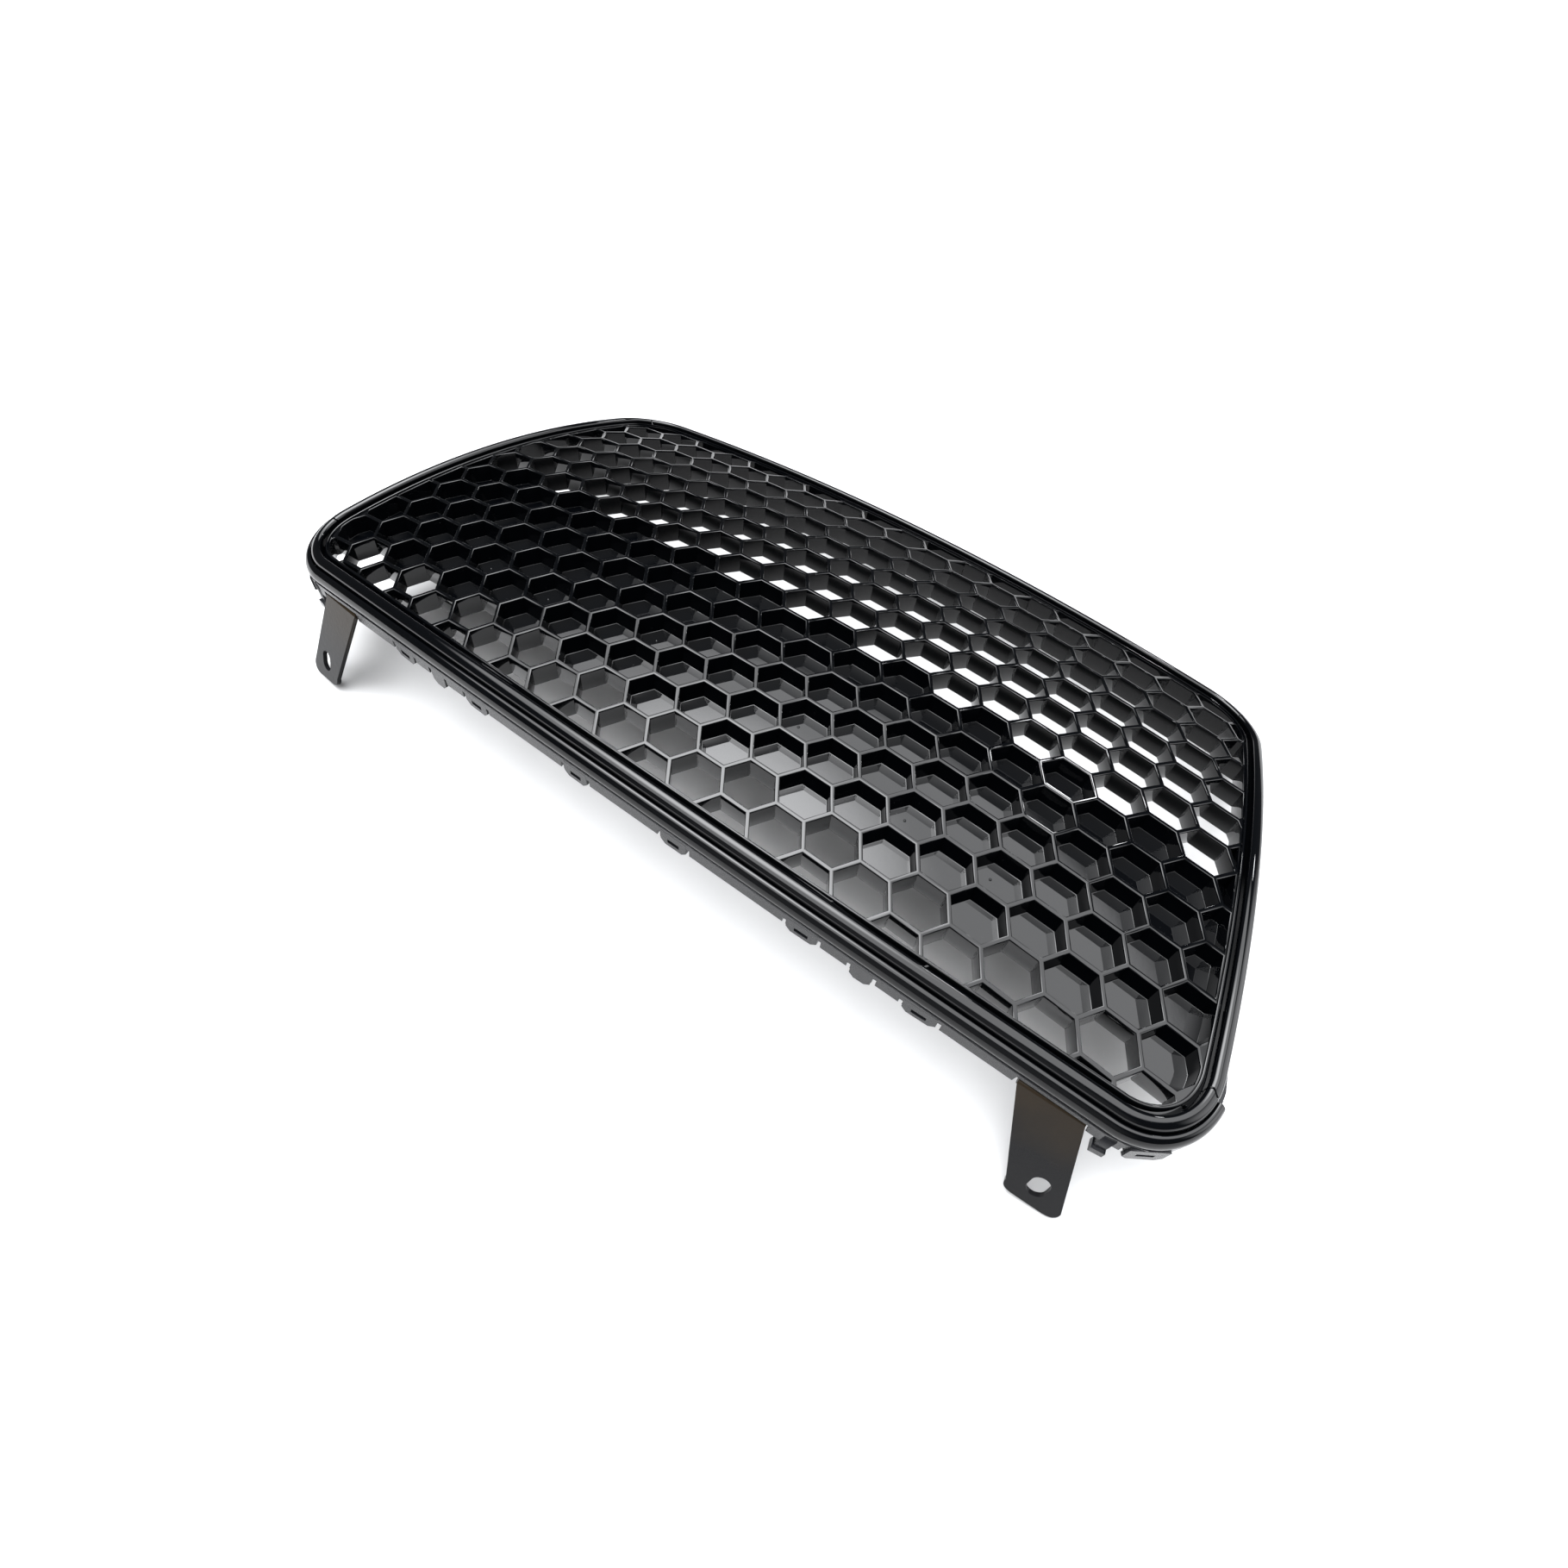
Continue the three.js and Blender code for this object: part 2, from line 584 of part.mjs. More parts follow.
// A post with a hooked end beside each bracket that finds its place in the body panel.
function locatingPegs() {
  const height = CARRIER_TOP - WEB - TAB_TOP_DROP - PEG_BOTTOM;
  const post = box(PEG_WIDTH, PEG_THICKNESS, height, 0, PEG_THICKNESS / 2, PEG_BOTTOM + height / 2);
  const hook = box(PEG_WIDTH + HOOK_OVERHANG, HOOK_DEPTH, HOOK_HEIGHT, 0, HOOK_OVERHANG, 0)
    .translate(0, 0, PEG_BOTTOM + HOOK_HEIGHT / 2);
  return [[1, PEG_SHARE], [7, 1 - PEG_SHARE]].flatMap(([curve, share]) => (
    [post, hook].map((piece) => placed(piece, uprightFrame(curve, share, SKIRT_OUT)))
  ));
}

// ---------- brackets ----------
// Frame of a bracket's foot under the carrier; the left bracket mirrors the right one.
function padFrame(sign) {
  return edgeFrame(0, wideShare(sign * BRACKET_X), SKIRT_OUT + BRACKET_SHEET);
}

function boltPlaces() {
  const setback = FOOT_LENGTH * BOLT_SETBACK_SHARE;
  return [-1, 1].map((side) => new THREE.Vector3(side * (BOLT_SPACING / 2), setback, PAD_BOTTOM - GAP));
}

// Flat-bottomed pads under the web, one for each bracket.
function bracketPads() {
  const length = FOOT_LENGTH - PAD_SETBACK;
  const block = box(BRACKET_WIDTH, length, PAD_HEIGHT, 0, PAD_SETBACK + length / 2, 0)
    .translate(0, 0, PAD_BOTTOM + PAD_HEIGHT / 2);
  return [-1, 1].map((sign) => placed(block, padFrame(sign)));
}

// Blind holes for the bracket bolts, open at the underside of the pads.
function bracketBoltHoles() {
  const top = PAD_BOTTOM + BOLT_ENGAGED + HOLE_CLEARANCE * 2;
  const hole = rod(BOLT_RADIUS + HOLE_CLEARANCE, PAD_BOTTOM - GAP, top);
  return [-1, 1].flatMap((sign) => boltPlaces().map((place) => (
    placed(hole.clone().translate(place.x, place.y, 0), padFrame(sign))
  )));
}

// Outline of a bracket's face in its own plane, with a straight slot near the toe.
function bracketFace(lean, length) {
  const toe = BRACKET_TOE_WIDTH / 2;
  const radius = BRACKET_TOE_RADIUS;
  const shape = new THREE.Shape();
  shape.moveTo(-BRACKET_WIDTH / 2, 0);
  shape.lineTo(lean - toe, radius - length);
  shape.quadraticCurveTo(lean - toe, -length, lean - toe + radius, -length);
  shape.lineTo(lean + toe - radius, -length);
  shape.quadraticCurveTo(lean + toe, -length, lean + toe, radius - length);
  shape.lineTo(BRACKET_WIDTH / 2, 0);
  const middle = SLOT_RISE - length;
  const x = lean * SLOT_LEAN_SHARE;
  const slot = new THREE.Path();
  slot.absarc(x, middle - SLOT_STRAIGHT / 2, SLOT_RADIUS, Math.PI, 2 * Math.PI, false);
  slot.absarc(x, middle + SLOT_STRAIGHT / 2, SLOT_RADIUS, 0, Math.PI, false);
  slot.closePath();
  shape.holes.push(slot);
  return shape;
}

// The right bracket: a foot under the carrier and a face that drops from it to the toe.
function rightBracketSolid() {
  const frame = padFrame(1);
  const sheetMiddle = PAD_BOTTOM - GAP - BRACKET_SHEET / 2;
  const bend = new THREE.Vector3(0, 0, sheetMiddle).applyMatrix4(frame);
  const along = new THREE.Vector3().setFromMatrixColumn(frame, 0);
  const lean = BRACKET_DROP.dot(along);
  const fall = BRACKET_DROP.clone().addScaledVector(along, -lean);
  const rise = fall.clone().normalize().negate();
  const facePlace = new THREE.Matrix4()
    .makeBasis(along, rise, new THREE.Vector3().crossVectors(along, rise))
    .setPosition(bend);
  const faceShape = bracketFace(lean, fall.length());
  const settings = { depth: BRACKET_SHEET, bevelEnabled: false, curveSegments: 6 };
  const face = new THREE.ExtrudeGeometry(faceShape, settings).translate(0, 0, -BRACKET_SHEET / 2);
  const foot = box(BRACKET_WIDTH, FOOT_LENGTH, BRACKET_SHEET, 0, FOOT_LENGTH / 2, sheetMiddle);
  const knuckle = rod(BRACKET_SHEET / 2, -BRACKET_WIDTH / 2, BRACKET_WIDTH / 2, 12)
    .rotateY(Math.PI / 2)
    .translate(0, 0, sheetMiddle);
  const hole = rod(BOLT_RADIUS + HOLE_CLEARANCE, -BRACKET_SHEET * 2, BRACKET_SHEET * 2);
  const holes = boltPlaces().map(({ x, y, z }) => placed(hole.clone().translate(x, y, z), frame));
  return placed(foot, frame)
    .add(placed(knuckle, frame))
    .add(placed(face, facePlace))
    .subtract(Manifold.union(holes));
}

// ---------- fasteners ----------
// Screws hold surround, insert and carrier together: [curve of the outline, share of its length].
const SCREW_PLACES = [
  [0, 0.09], [0, 0.36], [0, 0.64], [0, 0.91],
  [2, 0.3], [2, 0.75],
  [4, 0.08], [4, 0.37], [4, 0.63], [4, 0.92],
  [6, 0.25], [6, 0.7],
];

function screwFrames() {
  return SCREW_PLACES.map(([curve, share]) => uprightFrame(curve, share, SCREW_OFFSET));
}

// Clearance holes along every screw, as one cutter.
function screwHoles(radius, tip = 6) {
  const bore = rod(radius, -CARRIER_DEPTH, tip, ROUND);
  return Manifold.union(screwFrames().map((frame) => placed(bore, frame)));
}

// A pan-head screw pointing up, its head under the carrier's web.
function screwGeometry() {
  const seat = CARRIER_TOP - WEB - SCREW_SEAT_DROP;
  return new THREE.LatheGeometry([
    new THREE.Vector2(0, seat - SCREW_HEAD),
    new THREE.Vector2(SCREW_HEAD_RADIUS * SCREW_HEAD_CROWN, seat - SCREW_HEAD),
    new THREE.Vector2(SCREW_HEAD_RADIUS, seat - SCREW_HEAD / 2),
    new THREE.Vector2(SCREW_HEAD_RADIUS, seat),
    new THREE.Vector2(SCREW_RADIUS, seat),
    new THREE.Vector2(SCREW_RADIUS, SCREW_TIP - 1),
    new THREE.Vector2(0, SCREW_TIP),
  ], ROUND).rotateX(Math.PI / 2);
}

// A hexagon bolt with a flange, pointing up into a pad.
function boltGeometry() {
  const seat = PAD_BOTTOM - 2 * GAP - BRACKET_SHEET;
  const flange = solidOf(rod(BOLT_FLANGE_RADIUS, seat - BOLT_FLANGE, seat));
  const head = solidOf(rod(BOLT_HEAD_ACROSS / Math.sqrt(3), seat - BOLT_HEAD, seat - BOLT_FLANGE / 2, 6));
  const shank = solidOf(rod(BOLT_RADIUS, seat - BOLT_FLANGE / 2, PAD_BOTTOM + BOLT_ENGAGED));
  return flange.add(head).add(shank);
}

// ---------- resting pose ----------
// Lowest point of a solid that keeps to one side of the origin in Y.
function supportPoint(geometry, sign) {
  const corners = geometry.attributes.position;
  const lowest = new THREE.Vector3(0, 0, Infinity);
  const corner = new THREE.Vector3();
  for (let index = 0; index < corners.count; index += 1) {
    corner.fromBufferAttribute(corners, index);
    if (corner.y * sign > 0 && corner.z < lowest.z) {
      lowest.copy(corner);
    }
  }
  return lowest;
}

// Tilt about X that puts the bracket toes and the narrow edge of the carrier on one level.
function restingTilt(bracket, carrier) {
  const toe = supportPoint(bracket, -1);
  const heel = supportPoint(carrier, 1);
  return -Math.atan2(heel.z - toe.z, heel.y - toe.y);
}

// ---------- materials ----------
function material(color, roughness, metalness) {
  return new THREE.MeshStandardMaterial({ color, roughness, metalness });
}

const GLOSS_BLACK = material(0x0b0c0f, 0.12, 0);
const SATIN_BLACK = material(0x17181b, 0.38, 0);
const BLACK_STEEL = material(0x1c1a18, 0.3, 0.4);
const ZINC = material(0x8d9096, 0.35, 0.9);

// ---------- assembly ----------
function buildParts() {
  const mirror = new THREE.Matrix4().makeScale(-1, 1, 1).toArray();
  const rightBracket = rightBracketSolid();
  const seams = SEAM_STATIONS;
  const parts = [
    ['honeycomb_insert', insertSolid(), GLOSS_BLACK],
    ['surround_wide_edge', trimSolid(seams[3], seams[0]), GLOSS_BLACK],
    ['surround_right_side', trimSolid(seams[0], seams[1]), GLOSS_BLACK],
    ['surround_narrow_edge', trimSolid(seams[1], seams[2]), GLOSS_BLACK],
    ['surround_left_side', trimSolid(seams[2], seams[3]), GLOSS_BLACK],
    ['wide_edge_bead', beadSolid(), GLOSS_BLACK],
    ['rear_carrier', carrierSolid(), SATIN_BLACK],
    ['bracket_right', rightBracket, BLACK_STEEL],
    ['bracket_left', rightBracket.transform(mirror), BLACK_STEEL],
  ];
  [1, -1].forEach((sign) => boltPlaces().forEach((place, index) => {
    const frame = padFrame(sign).multiply(new THREE.Matrix4().makeTranslation(place.x, place.y, 0));
    const name = `bracket_bolt_${sign > 0 ? 'right' : 'left'}_${index + 1}`;
    parts.push([name, boltGeometry().transform(frame.toArray()), ZINC]);
  }));
  screwFrames().forEach((frame, index) => {
    parts.push([`clamp_screw_${index + 1}`, placed(screwGeometry(), frame), ZINC]);
  });
  return parts.map(([name, solid, finish]) => ({ name, geometry: geometryOf(solid), finish }));
}

function buildGrille() {
  const parts = buildParts();
  const find = (name) => parts.find((part) => part.name === name).geometry;
  const tilt = new THREE.Matrix4().makeRotationX(restingTilt(find('bracket_right'), find('rear_carrier')));
  const bounds = new THREE.Box3();
  parts.forEach(({ geometry }) => {
    geometry.applyMatrix4(tilt);
    geometry.computeBoundingBox();
    bounds.union(geometry.boundingBox);
  });
  const centre = bounds.getCenter(new THREE.Vector3());
  const grille = new THREE.Group();
  grille.name = 'front_grille';
  parts.forEach(({ name, geometry, finish }) => {
    const mesh = new THREE.Mesh(geometry.translate(-centre.x, -centre.y, -bounds.min.z), finish);
    mesh.name = name;
    grille.add(mesh);
  });
  return grille;
}

export default buildGrille();
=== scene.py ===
"""Looks of a honeycomb front grille that lies face up on its two brackets and its narrow edge.

Shapes are worked out as whole arrays in the grille's own frame: millimetres, X along the wide edge,
+Y towards the narrow edge, +Z out of the face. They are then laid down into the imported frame, in metres.
"""

import logging
import math
from dataclasses import dataclass, field
from enum import Enum
from typing import Any, Sequence

import bmesh
import bpy
import numpy as np
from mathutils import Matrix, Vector


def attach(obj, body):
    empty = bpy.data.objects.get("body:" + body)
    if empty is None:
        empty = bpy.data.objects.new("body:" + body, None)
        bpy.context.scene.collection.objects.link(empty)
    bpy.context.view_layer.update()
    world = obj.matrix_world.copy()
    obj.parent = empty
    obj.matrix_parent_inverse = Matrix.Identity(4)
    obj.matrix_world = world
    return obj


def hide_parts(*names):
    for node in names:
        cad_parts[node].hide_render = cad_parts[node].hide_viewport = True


LOG = logging.getLogger("grille")
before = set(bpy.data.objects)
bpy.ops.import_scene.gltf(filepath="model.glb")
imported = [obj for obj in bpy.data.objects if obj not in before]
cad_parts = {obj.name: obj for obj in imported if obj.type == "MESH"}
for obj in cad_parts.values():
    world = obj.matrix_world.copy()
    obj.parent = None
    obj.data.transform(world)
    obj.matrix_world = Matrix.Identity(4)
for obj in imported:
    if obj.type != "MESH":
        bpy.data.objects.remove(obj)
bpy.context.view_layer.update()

Colour = tuple[float, float, float]
Pairs = tuple[tuple[float, float], ...]


class Slot(Enum):
    """Material slots of the record."""

    GLOSS = "gloss_black"
    SATIN = "satin_black"
    STEEL = "black_steel"
    ZINC = "zinc"


# ---------------------------------------------------------------- shader expressions


class Value:
    """A shader socket that can stand in a Python expression; each operator adds one Math node."""

    def __init__(self, graph: "Graph", socket: bpy.types.NodeSocket) -> None:
        """Keeps the socket and the graph that it belongs to."""
        self.graph = graph
        self.socket = socket

    def __add__(self, other: Any) -> "Value":
        """Sum."""
        return self.graph.math("ADD", self, other)

    __radd__ = __add__

    def __mul__(self, other: Any) -> "Value":
        """Product."""
        return self.graph.math("MULTIPLY", self, other)

    __rmul__ = __mul__


class Graph:
    """The node tree of one material or world."""

    def __init__(self, tree: bpy.types.NodeTree) -> None:
        """Takes the tree over and clears it."""
        self.tree = tree
        tree.nodes.clear()

    def add(
        self,
        kind: str,
        settings: dict[str, Any] | None = None,
        sockets: dict[Any, Any] | None = None,
        output: Any = 0,
    ) -> Value:
        """Adds one node.

        Args:
            kind: The node's type.
            settings: Properties set first; "stops" fills a colour ramp with (place, grey) pairs.
            sockets: Values or links for the inputs, by name or number.
            output: Name or number of the output to return.

        Returns:
            The chosen output, or the node's first input where it has no output.
        """
        node = self.tree.nodes.new(kind)
        for key, value in (settings or {}).items():
            if key == "stops":
                ramp = node.color_ramp
                while len(ramp.elements) < len(value):
                    ramp.elements.new(0.5)
                for element, (place, grey) in zip(ramp.elements, value):
                    element.position = place
                    element.color = (grey, grey, grey, 1)
            else:
                setattr(node, key, value)
        for key, value in (sockets or {}).items():
            if isinstance(value, Value):
                self.tree.links.new(value.socket, node.inputs[key])
            else:
                node.inputs[key].default_value = value
        return Value(self, node.outputs[output] if len(node.outputs) else node.inputs[0])

    def math(self, operation: str, first: Any, second: Any) -> Value:
        """One Math node on two values or numbers."""
        return self.add("ShaderNodeMath", {"operation": operation}, {0: first, 1: second})

    def noise(self, where: Value, scale: float, detail: float = 3.0, rough: float = 0.55) -> Value:
        """Smooth noise between 0 and 1, scale in waves per metre."""
        return self.add(
            "ShaderNodeTexNoise",
            {"noise_dimensions": "3D"},
            {"Vector": where, "Scale": scale, "Detail": detail, "Roughness": rough},
            "Fac",
        )

    def ramp(self, value: Value, stops: Sequence[tuple[float, float]]) -> Value:
        """Grey ramp over a value."""
        return self.add("ShaderNodeValToRGB", {"stops": stops}, {"Fac": value})

    def blend(self, share: Value, low: Sequence[float], high: Sequence[float]) -> Value:
        """Colour between two colours by a share."""
        return self.add(
            "ShaderNodeMix",
            {"data_type": "RGBA"},
            {0: share, 6: (*low, 1.0), 7: (*high, 1.0)},
            2,
        )

    def place(self) -> Value:
        """The piece's own coordinates, in metres."""
        return self.add("ShaderNodeTexCoord", output="Object")

    def bump(self, height: Value, distance: float, strength: float) -> Value:
        """Normal disturbed by a height field."""
        return self.add(
            "ShaderNodeBump", None, {"Height": height, "Distance": distance, "Strength": strength}
        )

    def surface(self, **sockets: Any) -> None:
        """Closes the tree with a Principled shader; underscores in the names stand for spaces."""
        named = {key.replace("_", " "): value for key, value in sockets.items()}
        shader = self.add("ShaderNodeBsdfPrincipled", None, named)
        self.add("ShaderNodeOutputMaterial", None, {"Surface": shader})


# ---------------------------------------------------------------- finishes


def blank_material(name: str) -> tuple[bpy.types.Material, Graph]:
    """A new material and its empty graph."""
    material = bpy.data.materials.new(name)
    material.use_nodes = True
    return material, Graph(material.node_tree)


@dataclass(frozen=True)
class MouldedPlastic:
    """Injection-moulded black plastic: slight flow clouds, orange peel, a few dull specks of dust.

    The fields that end in _waves are noise scales, in waves per metre.
    """

    name: str
    deep: Colour
    light: Colour
    roughness: float
    haze: float
    peel: float
    specular: float
    grain: float = 0.0
    dust: float = 0.05
    cloud_waves: float = 14.0
    speck_waves: float = 900.0
    peel_waves: float = 160.0
    grain_waves: float = 2600.0
    speck_stops: Pairs = ((0.0, 0.0), (0.70, 0.0), (0.78, 1.0))
    speck_dulling: float = 3.0
    relief: float = 0.0004

    def make(self) -> bpy.types.Material:
        """Builds the material."""
        material, graph = blank_material(self.name)
        where = graph.place()
        clouds = graph.noise(where, self.cloud_waves, 4.0)
        specks = graph.ramp(graph.noise(where, self.speck_waves, 1.0, 0.4), self.speck_stops)
        waves = graph.noise(where, self.peel_waves, 2.0)
        fine = graph.noise(where, self.grain_waves, 2.0, 0.6)
        dulled = clouds * self.haze + specks * (self.dust * self.speck_dulling)
        graph.surface(
            Base_Color=graph.blend(clouds + specks * self.dust, self.deep, self.light),
            Roughness=dulled + (self.roughness - self.haze / 2),
            Specular_IOR_Level=self.specular,
            Normal=graph.bump(waves * self.peel + fine * self.grain, self.relief, 1.0),
        )
        return material


@dataclass(frozen=True)
class CoatedSteel:
    """Sheet steel under a black dip coat that is thinner, and so turns brownish, towards its top."""

    name: str
    coat: Colour
    brown: Colour
    roughness: float
    specular: float
    cloud_waves: float = 38.0
    mottle_waves: float = 420.0
    thinning_per_metre: float = 14.0
    cloud_share: float = 0.35
    thin_stops: Pairs = ((0.55, 0.0), (0.95, 1.0))
    mottle_dulling: float = 0.16
    cloud_dulling: float = 0.08
    relief: float = 0.0002

    def make(self) -> bpy.types.Material:
        """Builds the material."""
        material, graph = blank_material(self.name)
        where = graph.place()
        clouds = graph.noise(where, self.cloud_waves, 5.0, 0.6)
        height = graph.add("ShaderNodeSeparateXYZ", None, {0: where}, 2)
        thin = graph.ramp(height * self.thinning_per_metre + clouds * self.cloud_share, self.thin_stops)
        mottle = graph.noise(where, self.mottle_waves, 3.0, 0.6)
        mean_dulling = (self.mottle_dulling + self.cloud_dulling) / 2
        dulled = mottle * self.mottle_dulling + clouds * self.cloud_dulling
        graph.surface(
            Base_Color=graph.blend(thin, self.coat, self.brown),
            Roughness=dulled + (self.roughness - mean_dulling),
            Specular_IOR_Level=self.specular,
            Normal=graph.bump(mottle + clouds * 0.5, self.relief, 0.35),
        )
        return material


@dataclass(frozen=True)
class ZincPlate:
    """Bright zinc plate with fine turned marks and a cloudy passivation."""

    name: str
    bright: Colour
    dull: Colour
    roughness: float
    cloud_waves: float = 260.0
    mark_waves: float = 3200.0
    cloud_dulling: float = 0.18
    mark_dulling: float = 0.1
    relief: float = 0.0001

    def make(self) -> bpy.types.Material:
        """Builds the material."""
        material, graph = blank_material(self.name)
        where = graph.place()
        clouds = graph.noise(where, self.cloud_waves, 4.0)
        marks = graph.noise(where, self.mark_waves, 2.0)
        graph.surface(
            Base_Color=graph.blend(clouds, self.bright, self.dull),
            Metallic=1.0,
            Roughness=clouds * self.cloud_dulling + marks * self.mark_dulling + self.roughness,
            Normal=graph.bump(marks, self.relief, 0.4),
        )
        return material


@dataclass(frozen=True)
class StudioPaper:
    """Seamless pale floor."""

    name: str
    tone: float
    unevenness: float = 1.02
    cloud_waves: float = 3.0
    roughness: float = 0.75
    specular: float = 0.25

    def make(self) -> bpy.types.Material:
        """Builds the material."""
        material, graph = blank_material(self.name)
        clouds = graph.noise(graph.place(), self.cloud_waves)
        low, high = (self.tone,) * 3, (self.tone * self.unevenness,) * 3
        graph.surface(
            Base_Color=graph.blend(clouds, low, high),
            Roughness=self.roughness,
            Specular_IOR_Level=self.specular,
        )
        return material


FINISHES: dict[Slot, MouldedPlastic | CoatedSteel | ZincPlate] = {
    Slot.GLOSS: MouldedPlastic(
        "gloss_black_plastic",
        deep=(0.0003, 0.0004, 0.0006),
        light=(0.0008, 0.001, 0.0014),
        roughness=0.03,
        haze=0.01,
        peel=0.03,
        specular=0.28,
    ),
    Slot.SATIN: MouldedPlastic(
        "satin_black_plastic",
        deep=(0.004, 0.0042, 0.005),
        light=(0.008, 0.0085, 0.010),
        roughness=0.16,
        haze=0.05,
        peel=0.1,
        specular=0.22,
        grain=0.25,
        dust=0.08,
    ),
    Slot.STEEL: CoatedSteel(
        "black_dip_coat",
        coat=(0.005, 0.005, 0.0055),
        brown=(0.014, 0.010, 0.006),
        roughness=0.14,
        specular=0.10,
    ),
    Slot.ZINC: ZincPlate(
        "zinc_plate", bright=(0.62, 0.63, 0.66), dull=(0.42, 0.43, 0.45), roughness=0.22
    ),
}


# ---------------------------------------------------------------- arrays, frames and meshes


@dataclass(frozen=True)
class RestingFrame:
    """How the grille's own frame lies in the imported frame: a tilt about X, then a shift in millimetres."""

    tilt_degrees: float = -8.911753
    shift: tuple[float, float, float] = (0.0, 8.380936, 80.019760)

    def lay(self, points: np.ndarray) -> np.ndarray:
        """Takes points from the grille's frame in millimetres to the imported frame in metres."""
        tilt = math.radians(self.tilt_degrees)
        turn = np.array(
            [
                [1, 0, 0],
                [0, math.cos(tilt), -math.sin(tilt)],
                [0, math.sin(tilt), math.cos(tilt)],
            ]
        )
        return (points @ turn.T + np.array(self.shift)) / 1000.0


@dataclass
class Patch:
    """Points in the grille's frame and the faces between them."""

    points: np.ndarray
    faces: list[tuple[int, ...]]

    @staticmethod
    def join(patches: Sequence["Patch"]) -> "Patch":
        """Puts patches into one, renumbering their faces."""
        faces: list[tuple[int, ...]] = []
        start = 0
        for patch in patches:
            faces += [tuple(i + start for i in face) for face in patch.faces]
            start += len(patch.points)
        return Patch(np.vstack([patch.points for patch in patches]), faces)


def grid_faces(rows: int, columns: int, wrap_rows: bool, wrap_columns: bool) -> np.ndarray:
    """Faces of a grid whose point (r, c) has number r * columns + c.

    Args:
        rows: Number of rows.
        columns: Number of columns.
        wrap_rows: The last row is followed by the first.
        wrap_columns: The last column is followed by the first.

    Returns:
        Four point numbers for each face.
    """
    r = np.arange(rows if wrap_rows else rows - 1)[:, None]
    c = np.arange(columns if wrap_columns else columns - 1)[None, :]
    r2, c2 = (r + 1) % rows, (c + 1) % columns
    corners = (r * columns + c, r * columns + c2, r2 * columns + c2, r2 * columns + c)
    return np.stack(np.broadcast_arrays(*corners), -1).reshape(-1, 4)


def polygon_area(corners: np.ndarray) -> float:
    """Half the sum of the cross products of each corner with the next, in anticlockwise order."""
    after = np.roll(corners, -1, 0)
    return 0.5 * (corners[:, 0] * after[:, 1] - corners[:, 1] * after[:, 0]).sum()


def grid_patch(points: np.ndarray, wrap_rows: bool, wrap_columns: bool, caps: bool = False) -> Patch:
    """A patch from a (rows, columns, 3) array, with its first and last row closed where caps is set."""
    rows, columns = points.shape[:2]
    faces = [tuple(face) for face in grid_faces(rows, columns, wrap_rows, wrap_columns).tolist()]
    if caps:
        faces.append(tuple(range(columns)))
        faces.append(tuple(range((rows - 1) * columns, rows * columns))[::-1])
    return Patch(points.reshape(-1, 3), faces)


@dataclass
class Maker:
    """Turns patches and CAD nodes into finished pieces that ride on the frame."""

    resting: RestingFrame
    materials: dict[Slot, bpy.types.Material] = field(default_factory=dict)
    merge_distance: float = 2e-6
    flat_within_degrees: float = 0.6
    rounding_segments: int = 2
    rounding_from_degrees: float = 38.0

    def material(self, slot: Slot) -> bpy.types.Material:
        """The one material of a slot."""
        if slot not in self.materials:
            self.materials[slot] = FINISHES[slot].make()
        return self.materials[slot]

    def dress(self, piece: bpy.types.Object, slot: Slot) -> None:
        """Gives a piece the material of its slot."""
        piece.data.materials.clear()
        piece.data.materials.append(self.material(slot))

    def round_edges(self, piece: bpy.types.Object, width: float) -> None:
        """Rounds the sharp edges of a piece by a width in millimetres."""
        modifier = piece.modifiers.new("rounding", "BEVEL")
        modifier.width = width / 1000.0
        modifier.segments = self.rounding_segments
        modifier.limit_method = "ANGLE"
        modifier.angle_limit = math.radians(self.rounding_from_degrees)
        modifier.harden_normals = True

    def finish(
        self, mesh: bpy.types.Mesh, name: str, slot: Slot, node: str, crease: float, rounding: float
    ) -> None:
        """Makes a mesh a smooth-shaded piece that rides on the frame.

        Args:
            mesh: Its mesh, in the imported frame.
            name: The piece's name.
            slot: Its material slot.
            node: The CAD node that it stands for.
            crease: Angle in degrees over which an edge stays sharp.
            rounding: Width of the rounding of sharp edges in millimetres, or 0.
        """
        mesh.polygons.foreach_set("use_smooth", np.ones(len(mesh.polygons), bool))
        mesh.set_sharp_from_angle(angle=math.radians(crease))
        piece = bpy.data.objects.new(name, mesh)
        bpy.context.scene.collection.objects.link(piece)
        if rounding:
            self.round_edges(piece, rounding)
        self.dress(piece, slot)
        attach(piece, "root")
        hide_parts(node)
        LOG.info("%s: %d points, %d faces", name, len(mesh.vertices), len(mesh.polygons))

    def piece(self, name: str, patch: Patch, slot: Slot, node: str, crease: float = 32.0) -> None:
        """Makes a piece with outward faces from a patch, in place of a CAD node."""
        mesh = bpy.data.meshes.new(name)
        mesh.from_pydata(self.resting.lay(patch.points), [], patch.faces)
        work = bmesh.new()
        work.from_mesh(mesh)
        bmesh.ops.remove_doubles(work, verts=work.verts, dist=self.merge_distance)
        bmesh.ops.recalc_face_normals(work, faces=work.faces)
        work.to_mesh(mesh)
        work.free()
        self.finish(mesh, name, slot, node, crease, 0.0)

    def copy_of_node(self, name: str, node: str, slot: Slot, rounding: float = 0.0) -> None:
        """Makes a piece from a copy of a CAD node, its flat faces merged, in place of that node."""
        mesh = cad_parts[node].data.copy()
        work = bmesh.new()
        work.from_mesh(mesh)
        bmesh.ops.remove_doubles(work, verts=work.verts, dist=self.merge_distance)
        flat = math.radians(self.flat_within_degrees)
        bmesh.ops.dissolve_limit(work, angle_limit=flat, verts=work.verts, edges=work.edges)
        work.to_mesh(mesh)
        work.free()
        self.finish(mesh, name, slot, node, 28.0, rounding)


# ---------------------------------------------------------------- front surface and outline


